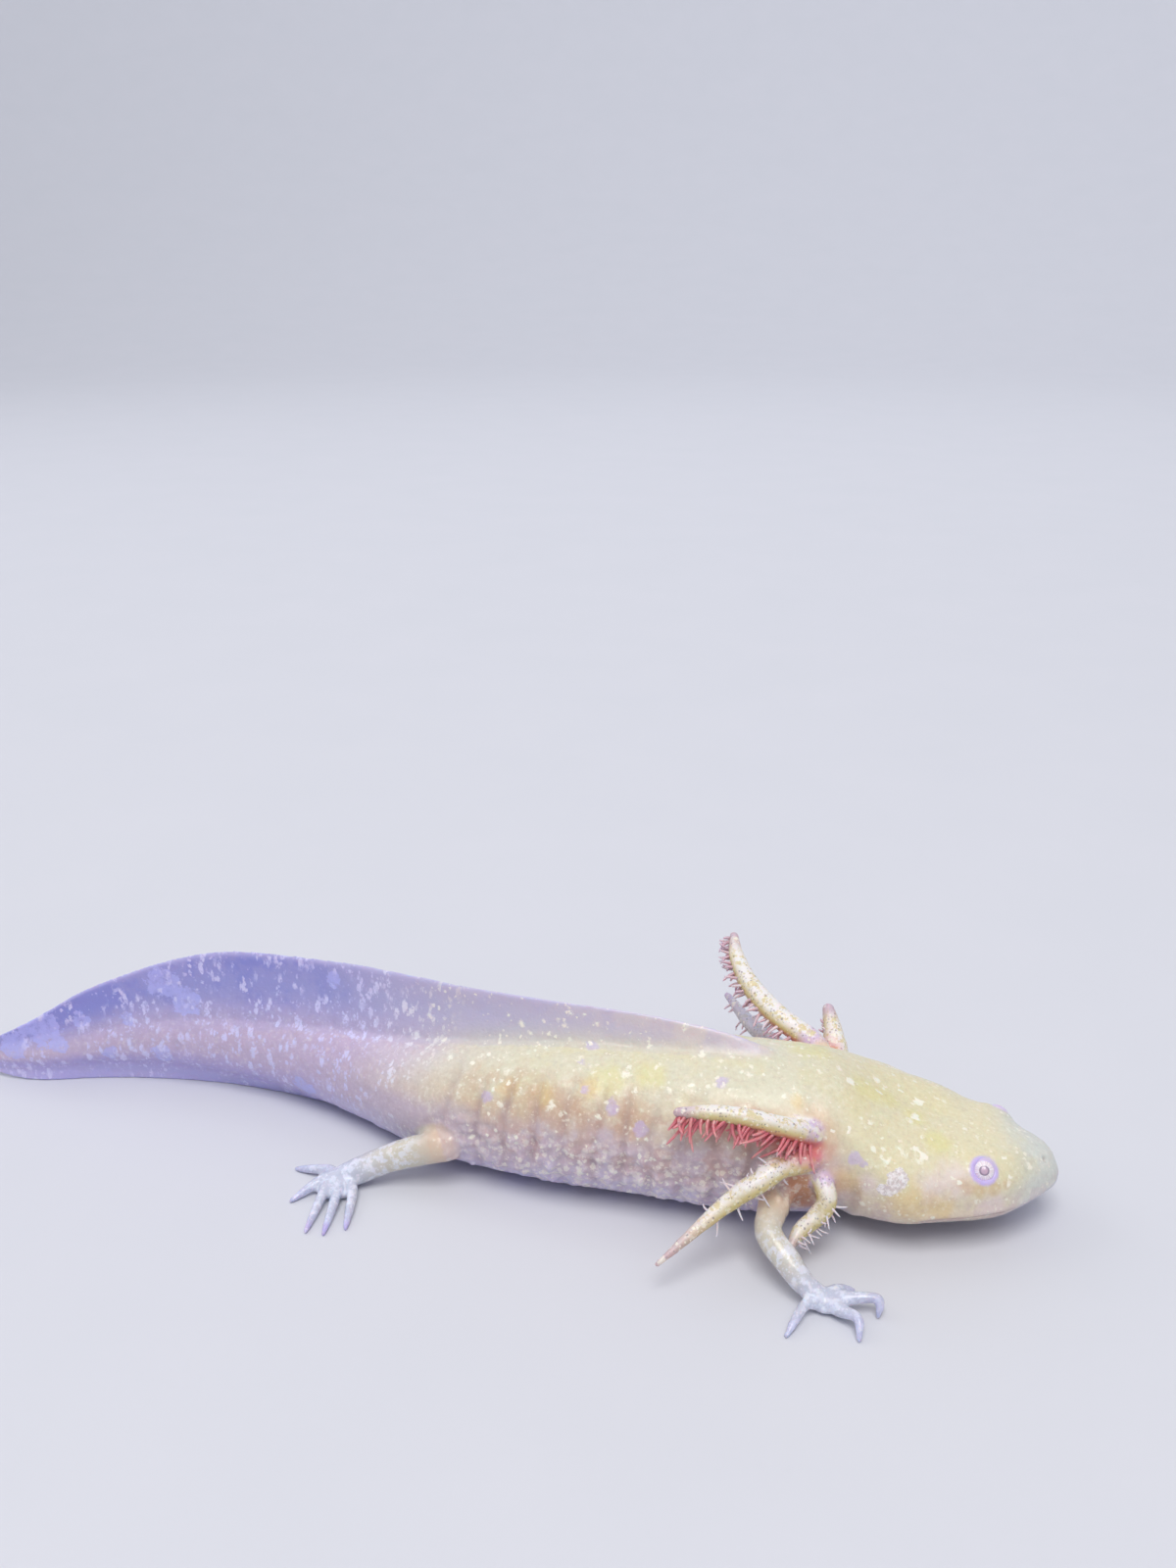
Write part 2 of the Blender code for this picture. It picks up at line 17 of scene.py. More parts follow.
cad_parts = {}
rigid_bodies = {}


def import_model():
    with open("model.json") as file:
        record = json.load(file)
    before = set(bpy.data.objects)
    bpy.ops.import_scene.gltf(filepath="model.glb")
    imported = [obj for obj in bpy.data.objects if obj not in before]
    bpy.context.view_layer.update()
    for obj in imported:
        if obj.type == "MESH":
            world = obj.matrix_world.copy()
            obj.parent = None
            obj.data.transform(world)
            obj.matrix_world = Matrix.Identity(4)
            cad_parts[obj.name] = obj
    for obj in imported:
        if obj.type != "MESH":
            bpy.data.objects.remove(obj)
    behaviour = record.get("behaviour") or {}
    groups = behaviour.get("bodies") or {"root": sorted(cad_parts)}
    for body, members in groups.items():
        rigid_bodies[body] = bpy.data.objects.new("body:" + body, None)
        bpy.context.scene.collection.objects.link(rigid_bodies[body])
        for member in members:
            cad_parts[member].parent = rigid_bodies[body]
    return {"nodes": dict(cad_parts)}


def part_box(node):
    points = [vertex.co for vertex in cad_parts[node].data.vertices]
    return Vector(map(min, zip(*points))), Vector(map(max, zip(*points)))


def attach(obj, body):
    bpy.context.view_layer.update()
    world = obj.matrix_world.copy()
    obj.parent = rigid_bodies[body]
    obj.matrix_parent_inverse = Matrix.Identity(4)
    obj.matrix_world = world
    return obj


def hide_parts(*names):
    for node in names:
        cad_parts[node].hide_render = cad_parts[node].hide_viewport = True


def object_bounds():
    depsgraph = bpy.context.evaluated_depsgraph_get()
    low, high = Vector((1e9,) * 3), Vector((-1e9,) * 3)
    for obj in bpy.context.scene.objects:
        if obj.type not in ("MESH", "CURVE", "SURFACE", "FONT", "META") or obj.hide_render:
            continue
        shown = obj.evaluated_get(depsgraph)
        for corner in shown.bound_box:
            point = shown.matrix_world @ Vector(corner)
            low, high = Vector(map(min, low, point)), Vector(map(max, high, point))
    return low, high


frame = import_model()
cad_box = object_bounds()
MM = 0.001
print("solids:", len(frame["nodes"]), "box in mm:", [round(v / MM, 1) for c in cad_box for v in c])

# %% [markdown]
# ## The body in sections
# A salamander's body is easiest to think of as a row of upright sections along its midline, like
# the frames of a boat. Each row of the table is one of them: where it stands, how far the midline
# swings sideways, how high its axis lies, half its width, and its reach above and below the axis.
# A smooth curve through the rows gives every section between. The ends come from the solids.

# %% The section table
TAIL_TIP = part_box("tail_tip")[0].x / MM
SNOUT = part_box("head")[1].x / MM
BODY = np.array((
    (TAIL_TIP, -0.4, 4.2, 0.35, 0.6, 0.6),
    (-131.0, -1.4, 4.8, 0.7, 1.5, 1.5),
    (-120.0, -0.4, 6.2, 1.4, 2.8, 2.6),
    (-108.0, 3.8, 8.0, 2.2, 4.2, 4.0),
    (-95.0, 7.0, 9.4, 3.1, 5.6, 5.2),
    (-80.0, 8.8, 10.2, 4.3, 7.0, 6.8),
    (-65.0, 8.4, 10.8, 5.6, 8.2, 8.2),
    (-50.0, 6.2, 11.2, 7.4, 9.6, 10.4),
    (-40.0, 4.2, 11.3, 9.4, 10.6, 11.5),
    (-32.0, 2.6, 11.7, 11.4, 11.5, 12.3),
    (-23.0, 0.8, 12.7, 13.0, 12.7, 13.3),
    (-14.0, 0.2, 13.5, 14.2, 13.4, 14.1),
    (-2.0, 0.0, 14.3, 15.2, 14.2, 14.9),
    (11.0, 0.5, 14.6, 15.5, 14.6, 15.2),
    (24.0, 0.6, 15.0, 15.7, 15.0, 15.6),
    (33.0, 1.2, 15.0, 15.6, 15.0, 15.6),
    (39.0, 2.3, 14.7, 15.4, 14.8, 14.9),
    (44.0, 3.8, 13.9, 15.2, 14.4, 13.0),
    (49.0, 5.1, 12.8, 16.6, 13.0, 11.4),
    (54.0, 5.8, 11.8, 17.7, 11.2, 10.2),
    (59.0, 6.1, 11.0, 17.8, 9.7, 9.1),
    (64.0, 6.2, 10.5, 16.6, 8.9, 8.4),
    (69.0, 6.2, 10.2, 14.4, 8.1, 7.8),
    (74.0, 6.6, 10.0, 11.9, 7.2, 7.2),
    (78.5, 7.5, 9.8, 8.9, 6.1, 5.9),
    (82.0, 8.2, 9.7, 6.3, 4.8, 4.5),
    (84.5, 8.6, 9.6, 3.8, 3.0, 2.9),
    (SNOUT, 8.8, 9.6, 0.9, 0.7, 0.7),
))
UPPER_FIN = np.array((
    (-135.4, 4.7), (-134.4, 6.0), (-130.0, 8.8), (-120.0, 14.4), (-110.0, 20.5), (-100.0, 24.9),
    (-90.0, 28.6), (-80.0, 31.2), (-70.0, 32.3), (-60.0, 33.0), (-50.0, 34.0),
    (-40.0, 34.6), (-30.0, 35.1), (-20.0, 35.5), (-8.0, 35.4), (4.0, 35.2),
    (14.0, 34.6), (24.0, 33.5), (31.0, 31.7), (37.5, 28.8),
))
LOWER_FIN = np.array((
    (-135.4, 3.6), (-134.2, 2.5), (-128.0, 1.0), (-120.0, 0.0), (-60.0, 0.0), (-50.0, 0.0),
))
print("body from", round(TAIL_TIP, 1), "to", round(SNOUT, 1), "mm in", len(BODY), "sections")


# %% Read the table anywhere along the body
def read_at(rows, x):
    """Each column of a table at the places x, on a smooth curve through its rows."""
    x = np.clip(np.asarray(x, float), rows[0, 0], rows[-1, 0])
    index = np.clip(np.searchsorted(rows[:, 0], x, side="right") - 1, 0, len(rows) - 2)
    before = np.maximum(np.arange(len(rows)) - 1, 0)
    after = np.minimum(np.arange(len(rows)) + 1, len(rows) - 1)
    slopes = (rows[after] - rows[before]) / (rows[after, :1] - rows[before, :1])
    span = (rows[index + 1, 0] - rows[index, 0])[..., None]
    t = (x - rows[index, 0])[..., None] / span
    starts = (2 * t ** 3 - 3 * t ** 2 + 1) * rows[index] + (t ** 3 - 2 * t ** 2 + t) * span * slopes[index]
    ends = (3 * t ** 2 - 2 * t ** 3) * rows[index + 1] + (t ** 3 - t ** 2) * span * slopes[index + 1]
    return (starts + ends)[..., 1:]


def midline(x):
    """Points of the midline at x, and the level unit vectors square to it, to the left."""
    side = read_at(BODY, x)[..., 0]
    turn = read_at(BODY, x + 0.5)[..., 0] - read_at(BODY, x - 0.5)[..., 0]
    across = np.stack([-turn, np.ones_like(turn), np.zeros_like(turn)], -1)
    across /= np.linalg.norm(across, axis=-1, keepdims=True)
    return np.stack([x, side, np.zeros_like(side)], -1), across


print("half width over the arms:", read_at(BODY, 36.5)[2].round(1), "mm")

# %% [markdown]
# ## Closed forms to melt together
# The skin starts as plain closed forms that run into each other: the body, two thin fins, four
# legs with their palms and toes, and six gill stalks. Each is a stack of rings. They could be
# joined by Boolean unions, but those leave hard creases where a leg meets the flank. Here they
# are only laid through one another, and a later remesh melts them into one surface.

# %% Helpers that stack rings into forms and tubes
def smoothstep(low, high, value):
    """0 below low, 1 above high, and an even S between."""
    t = np.clip((np.asarray(value, float) - low) / (high - low), 0.0, 1.0)
    return t * t * (3 - 2 * t)


def unit(vectors):
    """Vectors scaled to length one."""
    return vectors / np.maximum(np.linalg.norm(vectors, axis=-1, keepdims=True), 1e-6)


def stack(rings):
    """Vertices and faces of a closed form through rings of the same count."""
    rings = np.asarray(rings, float)
    rows, count = rings.shape[:2]
    grid = np.arange(rows * count).reshape(rows, count)
    nxt = np.roll(grid, -1, axis=1)
    quads = np.stack([grid[:-1], nxt[:-1], nxt[1:], grid[1:]], -1).reshape(-1, 4)
    return rings.reshape(-1, 3), [*map(list, quads), list(grid[0][::-1]), list(grid[-1])]


def circle(sides):
    """Angles evenly round a ring."""
    return np.linspace(0, 2 * np.pi, sides, endpoint=False)


print("corners of a stack of three rings:", len(stack(np.zeros((3, 12, 3)))[0]))


# %% Helpers that follow a route
def route_through(points, radii, pieces=8):
    """A smooth route through points, with its radii, finely divided."""
    rows = np.column_stack([np.arange(len(points)), np.asarray(points, float), radii])
    fine = read_at(rows, np.linspace(0, len(points) - 1, (len(points) - 1) * pieces + 1))
    return fine[:, :3], fine[:, 3]


def round_end(points, radii):
    """A route and its radii, carried on so that the tube closes in a dome."""
    end = (points[-1] - points[-2]) / np.linalg.norm(points[-1] - points[-2])
    bow = np.radians((25, 45, 62, 78))
    points = np.vstack([points, points[-1] + end * radii[-1] * np.sin(bow)[:, None]])
    return points, np.append(radii, radii[-1] * np.cos(bow))


def tube(points, radii, sides=20, lean=(0.0, 0.0, 1.0)):
    """A tapered tube along a route. Its rings start square to the lean."""
    ahead = unit(np.gradient(points, axis=0))
    side = unit(np.cross(lean, ahead))
    angle = circle(sides)[None, :, None]
    ring = np.cos(angle) * side[:, None] + np.sin(angle) * np.cross(ahead, side)[:, None]
    return stack(points[:, None] + radii[:, None, None] * ring)


def ball(centre, size, turns=(28, 18)):
    """A squashed ball with a half size along each axis."""
    angle = circle(turns[0])
    tilt = np.radians(88) * np.linspace(-1, 1, turns[1])[:, None]
    rings = np.stack([np.cos(tilt) * np.cos(angle), np.cos(tilt) * np.sin(angle),
                      np.repeat(np.sin(tilt), turns[0], 1)], -1)
    return stack(np.asarray(centre) + rings * np.asarray(size))


print("corners of a ball:", len(ball((0, 0, 0), (1, 1, 1))[0]))

# %% The body and the fins
SQUARE_HEAD = 2.35
SQUARE_TRUNK = 2.05
FIN_HALF = 0.66
RING_GAP = 0.8


def body_form():
    """The body from tail tip to snout, a squared ellipse at every place."""
    rounded = SNOUT - 4 * np.cos(np.linspace(0, np.pi / 2, 14))
    x = np.append(np.arange(TAIL_TIP, SNOUT - 4, RING_GAP), rounded)
    centre, across = midline(x)
    _, height, half, rise, drop = np.moveaxis(read_at(BODY, x), -1, 0)[..., None]
    power = 2 / (SQUARE_TRUNK + (SQUARE_HEAD - SQUARE_TRUNK) * smoothstep(36, 48, x))[:, None]
    angle = circle(104)
    level, up = np.cos(angle)[None], np.sin(angle)[None]
    out = np.sign(level) * np.abs(level) ** power * half
    lift = np.sign(up) * np.abs(up) ** power * np.where(up > 0, rise, drop)
    rings = centre[:, None] + across[:, None] * out[..., None]
    rings[..., 2] = np.maximum(height + lift, 0.0)
    return stack(rings)


def fin_form(edge_rows, start, end, upper):
    """A fin: it leaves the body thick and fleshy. Its edge is pressed thin after the melting."""
    x = np.arange(start, end, RING_GAP)
    centre, across = midline(x)
    _, height, half, rise, drop = np.moveaxis(read_at(BODY, x), -1, 0)[..., None]
    edge = read_at(edge_rows, x)
    root = height + 0.5 * rise if upper else height - 0.5 * drop
    skin = height + rise if upper else height - drop
    way = np.linspace(0, 1, 24)[None]
    level = root + (edge - root) * way
    beyond = np.clip((level - skin) / (edge - skin + 1e-6), 0, 1)
    fleshy = np.clip(0.42 * half, 0.5, 2.3)
    thick = FIN_HALF + (np.maximum(fleshy, FIN_HALF) - FIN_HALF) * (1 - beyond) ** 2.2
    thick = (thick * np.sqrt(np.clip(1.04 - way ** 24, 0.04, 1)))[..., None]
    left = centre[:, None] + across[:, None] * thick
    right = centre[:, None] - across[:, None] * thick
    left[..., 2], right[..., 2] = level, level
    return stack(np.concatenate([left, right[:, ::-1]], 1))


forms = [
    body_form(),
    fin_form(UPPER_FIN, -135.2, 37.5, True),
    fin_form(LOWER_FIN, -135.2, -52.0, False),
]
print("body and fins:", sum(len(vertices) for vertices, faces in forms), "points")

# %% [markdown]
# ## Legs, hands and feet
# An axolotl has four fingers and five toes. Each leg is a bent tube that swells at the thigh and
# forearm and narrows at the wrist, then a flat palm, then soft tapering toes without claws. The
# routes are those of the solids, so the hands stay where the model stands on them.

# %% Routes of the legs and toes
TOE_DOWN = 0.4
FORE = dict(radii=(3.5, 2.8, 2.4, 2.35, 1.95, 1.6), palm=(2.1, 1.7, 1.3), toe=1.50, web=0.32)
HIND = dict(radii=(4.0, 3.4, 3.0, 2.65, 2.5, 2.1), palm=(3.0, 3.3, 1.5), toe=1.70, web=0.72)
LEGS = {
    "fore_right": dict(
        FORE,
        route=((36.5, -9.0, 10.5), (37.8, -14.5, 9.8), (37.6, -21.0, 8.4), (41.6, -24.8, 5.8),
               (45.2, -27.0, 3.2), (48.6, -27.2, 1.5)),
        toes=(((45.3, -30.4, 2.0), (43.2, -36.4, TOE_DOWN)),
              ((51.4, -30.0, 2.0), (54.2, -31.6, 2.4), (54.8, -34.4, TOE_DOWN)),
              ((52.4, -27.4, 2.6), (57.0, -26.6, 2.9), (57.3, -28.0, TOE_DOWN)),
              ((50.4, -25.4, 2.4), (52.8, -22.6, TOE_DOWN)))),
    "fore_left": dict(
        FORE,
        route=((36.5, 9.5, 9.4), (37.4, 17.0, 8.8), (36.0, 24.0, 7.8), (39.8, 27.8, 5.8),
               (43.0, 30.2, 3.2), (46.2, 30.8, 1.5)),
        toes=(((43.6, 33.4, 2.0), (42.0, 38.4, TOE_DOWN)),
              ((47.4, 33.4, 2.2), (48.4, 36.0, 1.9), (49.0, 39.2, TOE_DOWN)),
              ((49.6, 31.8, 2.2), (52.4, 33.0, 1.9), (54.8, 34.6, TOE_DOWN)),
              ((49.2, 29.0, 2.2), (52.6, 27.6, TOE_DOWN)))),
    "hind_right": dict(
        HIND,
        route=((-20.5, -6.0, 9.6), (-24.5, -11.4, 8.6), (-29.0, -12.6, 7.2), (-35.0, -14.2, 5.2),
               (-40.4, -16.6, 3.0), (-44.0, -18.2, 1.6)),
        toes=(((-47.2, -16.2, 1.8), (-53.6, -15.6, TOE_DOWN)),
              ((-46.8, -20.0, 1.8), (-50.2, -24.9, TOE_DOWN)),
              ((-44.6, -22.2, 1.8), (-43.8, -32.4, TOE_DOWN)),
              ((-42.2, -22.0, 1.8), (-40.4, -32.2, TOE_DOWN)),
              ((-39.8, -20.6, 1.8), (-37.2, -29.8, TOE_DOWN)))),
    "hind_left": dict(
        HIND,
        route=((-20.5, 7.6, 9.6), (-24.0, 13.8, 8.4), (-28.0, 18.4, 7.0), (-33.0, 21.4, 5.2),
               (-37.6, 24.0, 3.0), (-40.8, 26.0, 1.6)),
        toes=(((-44.2, 26.0, 1.8), (-50.0, 26.2, TOE_DOWN)),
              ((-43.4, 28.4, 1.8), (-48.6, 32.6, TOE_DOWN)),
              ((-41.4, 30.0, 1.8), (-44.0, 38.6, TOE_DOWN)),
              ((-38.8, 30.0, 1.8), (-38.4, 38.6, TOE_DOWN)),
              ((-36.4, 28.4, 1.8), (-33.6, 34.6, TOE_DOWN)))),
}
print("toes:", {name: len(leg["toes"]) for name, leg in LEGS.items()})


# %% Grow each leg
def leg_forms(leg):
    """One leg: its bent tube, the flat of its palm, and its toes with a little web between."""
    palm = np.array(leg["route"][-1])
    heel = 0.25 * (np.array(leg["route"][-2]) - palm)
    made = [tube(*round_end(*route_through(leg["route"], leg["radii"]))),
            ball(palm + heel * (1, 1, 0), leg["palm"])]
    for toe in leg["toes"]:
        root = palm + 0.3 * (np.array(toe[0]) - palm)
        line, _ = route_through([root, *toe], np.ones(len(toe) + 1))
        way = np.linspace(0, 1, len(line))
        thick = 0.46 + (leg["toe"] - 0.46) * (1 - way ** 1.25) + 0.08 * np.sin(way * 2 * np.pi * 1.5)
        made.append(tube(*round_end(line, thick), sides=16))
    for toe, beside in zip(leg["toes"], leg["toes"][1:]):
        web = palm + leg["web"] * ((np.array(toe[0]) + np.array(beside[0])) / 2 - palm)
        web[2] = 1.0
        made.append(ball(web, (2.2, 2.2, 0.75), (18, 10)))
    return made


for leg in LEGS.values():
    forms += leg_forms(leg)
print("with the legs:", len(forms), "forms")

# %% [markdown]
# ## Gill stalks
# Three gill stalks grow from each side of the neck. On the right one lies back along the flank,
# one hangs out like a long spike, and one hooks down in front of the arm; on the left the
# uppermost one sweeps out and up. They are soft tapering rods, widest where they leave the neck.

# %% The gill stalks
GILLS = {
    "gill_right_upper": dict(
        route=((44.5, -6.0, 19.0), (43.0, -10.0, 21.6), (38.0, -13.4, 24.5), (32.0, -15.0, 26.4),
               (26.0, -16.1, 27.0), (20.6, -16.9, 26.6)),
        radii=(2.0, 2.1, 1.8, 1.65, 1.4, 0.9)),
    "gill_right_middle": dict(
        route=((46.5, -6.0, 16.5), (43.6, -11.4, 17.6), (38.9, -14.8, 17.4), (34.8, -18.6, 15.8),
               (29.6, -21.8, 12.2), (20.5, -31.5, 6.0)),
        radii=(1.8, 1.9, 1.95, 1.95, 1.5, 0.5)),
    "gill_right_lower": dict(
        route=((47.0, -6.5, 13.8), (45.6, -11.4, 13.4), (46.6, -13.6, 11.2), (45.4, -14.6, 8.6),
               (42.6, -17.2, 6.4), (41.2, -20.6, 4.9)),
        radii=(1.8, 1.9, 1.9, 1.8, 1.45, 0.6)),
    "gill_left_upper": dict(
        route=((42.5, 12.0, 21.0), (40.6, 16.6, 23.4), (32.6, 20.6, 26.4), (26.2, 26.5, 29.0),
               (22.5, 31.5, 32.0), (20.8, 37.2, 34.0)),
        radii=(2.0, 2.2, 2.2, 2.0, 1.6, 0.9)),
    "gill_left_middle": dict(
        route=((41.8, 12.0, 13.6), (39.6, 19.4, 15.0), (34.0, 23.8, 16.8), (27.0, 28.6, 18.4),
               (19.6, 39.0, 19.2)),
        radii=(1.8, 1.9, 1.9, 1.6, 0.7)),
    "gill_left_lower": dict(
        route=((45.4, 14.0, 17.0), (44.2, 20.6, 19.0), (43.0, 24.8, 21.6), (41.4, 28.6, 24.8)),
        radii=(2.5, 2.6, 2.0, 1.25)),
}
for gill in GILLS.values():
    forms.append(tube(*round_end(*route_through(gill["route"], gill["radii"]))))
print("stalks:", len(GILLS))

# %% [markdown]
# ## Melting the forms into one skin
# A voxel remesh wraps everything that overlaps in one even surface, the way wet clay takes
# separate lumps together. It leaves a stair pattern as fine as its voxels, so a light smoothing
# follows everywhere, and a strong one only where limbs and gills leave the body, where real skin
# stretches over the joint in a fillet.

# %% Helpers that make and read pieces
def mesh_from(name, vertices, faces):
    """A mesh from arrays, in metres."""
    data = bpy.data.meshes.new(name)
    data.from_pydata(np.asarray(vertices).tolist(), [], [list(map(int, f)) for f in faces])
    data.update()
    return data


def joined(parts):
    """Vertices in metres and faces of several forms taken as one."""
    places, faces, count = [], [], 0
    for vertices, polygons in parts:
        places.append(vertices)
        faces += [[i + count for i in polygon] for polygon in polygons]
        count += len(vertices)
    return np.concatenate(places) * MM, faces


def piece(name, data):
    """A new object in the scene that shows this mesh."""
    made = bpy.data.objects.new(name, data)
    bpy.context.scene.collection.objects.link(made)
    return made


def settle(made):
    """Apply every modifier on a piece for good."""
    graph = bpy.context.evaluated_depsgraph_get()
    graph.update()
    fresh = bpy.data.meshes.new_from_object(made.evaluated_get(graph))
    made.modifiers.clear()
    made.data = fresh


def read_vertices(data, field="co"):
    """An array of one vector for each vertex."""
    flat = np.zeros(len(data.vertices) * 3, np.float32)
    data.vertices.foreach_get(field, flat)
    return flat.reshape(-1, 3).astype(float)


skin = piece("skin", mesh_from("skin", *joined(forms)))
print("loose forms:", len(skin.data.vertices), "points")

# %% Remesh
VOXEL = 0.36 * MM
remesh = skin.modifiers.new("melt", "REMESH")
remesh.mode = "VOXEL"
remesh.voxel_size = VOXEL
settle(skin)
print("melted skin:", len(skin.data.vertices), "points")

# %% Helpers that find a place on the body
def distance(points, centre):
    """How far each point lies from a centre."""
    return np.linalg.norm(points - np.array(centre), axis=1)


def along_body(points):
    """For points in millimetres: the station on the midline, and how far left of it each is."""
    station = points[:, 0].copy()
    for _ in range(4):
        centre, across = midline(station)
        ahead = np.stack([across[:, 1], -across[:, 0]], -1)
        station += ((points[:, :2] - centre[:, :2]) * ahead).sum(1) * ahead[:, 0]
        station = np.clip(station, TAIL_TIP, SNOUT)
    centre, across = midline(station)
    return station, ((points[:, :2] - centre[:, :2]) * across[:, :2]).sum(1)


points = read_vertices(skin.data) / MM
station, left = along_body(points)
print("the skin runs from station", station.min().round(1), "to", station.max().round(1))

# %% Smooth the stair pattern, and more strongly at the roots of limbs and gills
GROUP_STEPS = 20


def set_group(made, name, weights):
    """A vertex group whose weights go in even steps."""
    group = made.vertex_groups.new(name=name)
    steps = np.round(np.clip(weights, 0, 1) * GROUP_STEPS).astype(int)
    for step in range(1, GROUP_STEPS + 1):
        found = np.nonzero(steps == step)[0].tolist()
        if found:
            group.add(found, step / GROUP_STEPS, "REPLACE")


def smooth(made, rounds, factor, group=""):
    """Even out a surface."""
    step = made.modifiers.new("smooth", "SMOOTH")
    step.iterations = rounds
    step.factor = factor
    step.vertex_group = group


roots = np.zeros(len(points))
for limbs, reach in ((LEGS, 4.2), (GILLS, 2.8)):
    for limb in limbs.values():
        roots = np.maximum(roots, np.exp(-(distance(points, limb["route"][1]) / reach) ** 4))
_, height, _, rise, _ = read_at(BODY, station).T
fin_root = (np.abs(points[:, 2] - height - rise) < 2.0) & (np.abs(left) < 3.0)
roots = np.maximum(roots, np.where(fin_root, 0.8, 0.0))
set_group(skin, "roots", roots)
smooth(skin, 5, 0.5)
smooth(skin, 16, 0.5, "roots")
settle(skin)
skin.vertex_groups.clear()
print("smoothed; vertices in the fillets:", int((roots > 0.3).sum()))

# %% [markdown]
# ## Sculpting
# Detail that the eye reads as anatomy is pressed into the skin as real shape: the costal grooves
# that ring the flank between the legs, the long mouth line with its upper lip, the nostrils, the
# fold of the gill cover, the rims round the eyes, and slight unevenness all over. Every mark is a
# bell-shaped push along the surface normal, which is what a sculptor's brush does. The pushes add
# up in one number for each point, in millimetres, and the skin moves once at the end.

# %% Places of the eyes and nostrils
def on_snout(station, left):
    """The point on top of the head at a station and so far left of the midline."""
    centre, across = midline(np.array([station]))
    _, height, half, rise, _ = read_at(BODY, np.array([station]))[0]
    bow = (1 - (abs(left) / half) ** SQUARE_HEAD) ** (1 / SQUARE_HEAD)
    point = centre[0] + across[0] * left
    point[2] = height + rise * bow
    return point


EYE_RADIUS = (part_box("eye_right")[1].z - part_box("eye_right")[0].z) / 2 / MM
EYES = {
    "eye_right": dict(look=(0.10, -0.80, 0.59), rim=0.12, rim_width=0.40, ring=1.0, brow=0.40),
    "eye_left": dict(look=(0.26, 0.84, 0.47), rim=0.50, rim_width=1.00, ring=0.30, brow=1.15),
}
for name, eye in EYES.items():
    low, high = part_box(name)
    eye["centre"] = np.array((low + high) / 2) / MM
    eye["axis"] = np.array(Vector(eye["look"]).normalized())
NOSTRILS = [on_snout(82.6, left) for left in (-3.4, 3.4)]
print("eye radius", round(EYE_RADIUS, 2), "mm")

# %% Tools for pressing marks in
def bell(value, width):
    """A bump that is 1 at zero and fades over the width."""
    return np.exp(-(value / width) ** 2)


def waves(points, size, seed):
    """Gentle unevenness between -1 and 1, with lumps of about this size."""
    random = np.random.RandomState(seed)
    total = np.zeros(len(points))
    for _ in range(9):
        way = random.normal(size=3)
        way *= 2 * np.pi / (size * random.uniform(0.7, 1.6)) / np.linalg.norm(way)
        total += np.sin(points @ way + random.uniform(0, 2 * np.pi))
    return total / 4.5


def where_on_body(points):
    """Named measures of each point: how tall it stands, how far along, left and up it lies, its
    level from 0 on the axis to 1 at the back or the belly, and 1 where it is body at all."""
    station, left = along_body(points)
    _, height, half, rise, drop = read_at(BODY, station).T
    up = points[:, 2] - height
    level = np.where(up > 0, up / rise, -up / drop)
    body = smoothstep(1.35, 1.12, np.hypot(left / half, level))
    return SimpleNamespace(tall=points[:, 2], station=station, left=left, wide=np.abs(left), up=up,
                           height=height, rise=rise, drop=drop, level=level, body=body)


normals = read_vertices(skin.data, "normal")
points = read_vertices(skin.data) / MM
at = where_on_body(points)
print("share of the skin that is body:", round(at.body.mean(), 2))

# %% Marks of the trunk and tail
FIRST_GROOVE = -22.6
GROOVE_GAP = 5.4
BLOCK_GAP = 5.0
FIN_PRESSED = 0.30


def costal(points, station):
    """Where the flank is ringed by grooves, and the bell shape of each groove."""
    flank = smoothstep(3.0, 8.0, points[:, 2]) * smoothstep(27.0, 19.0, points[:, 2])
    flank = flank * smoothstep(-27, -20, station) * smoothstep(37, 31, station)
    bend = station - 0.06 * (points[:, 2] - 14) + 0.45 * waves(points, 8.0, 11)
    groove = (bend - FIRST_GROOVE) / GROOVE_GAP
    depth = 0.75 + 0.35 * waves(points, 11.0, 23)
    return flank, depth * bell(np.abs(groove - np.round(groove)) * GROOVE_GAP, 0.9)


def press_trunk(push, points, at):
    """Costal grooves, pebbled skin and a crease low on the flank, and the lines of the tail."""
    flank, groove = costal(points, at.station)
    push += flank * at.body * (0.24 - 0.78 * groove)
    pebbled = smoothstep(21, 14, at.tall) * smoothstep(1, 5, at.tall) * at.body
    pebbled = pebbled * smoothstep(-30, -16, at.station) * smoothstep(40, 34, at.station)
    push += pebbled * (0.36 * waves(points, 2.8, 31) + 0.18 * waves(points, 1.7, 37))
    push -= 0.30 * pebbled * bell(at.tall - 12.3 - 0.7 * waves(points, 12.0, 41), 0.8)
    # the groove that runs along the flank and tail, above the muscle
    length = smoothstep(-28, -40, at.station) * smoothstep(-122, -95, at.station) * at.body
    push -= 0.10 * bell(at.up / at.rise - 0.05, 0.16) * length
    # tail muscle in short blocks
    tail = smoothstep(-34, -46, at.station) * smoothstep(-126, -100, at.station) * at.body
    block = (at.station + 0.35 * np.abs(at.up)) / BLOCK_GAP
    push -= tail * 0.11 * bell(np.abs(block - np.round(block)) * BLOCK_GAP, 0.8)


def press_fins(push, normals, at):
    """Fins pressed thin: the push is sideways only, so their outline keeps its height."""
    fin = smoothstep(1.06, 1.5, at.level) * (at.wide < 2.2) * smoothstep(37, 30, at.station)
    push -= (FIN_HALF - FIN_PRESSED) * fin * (1 - np.abs(normals[:, 2]))


push = 0.10 * waves(points, 7.0, 3) * at.body + 0.05 * waves(points, 3.0, 5)
press_trunk(push, points, at)
press_fins(push, normals, at)
print("deepest mark so far:", round(-push.min(), 2), "mm")


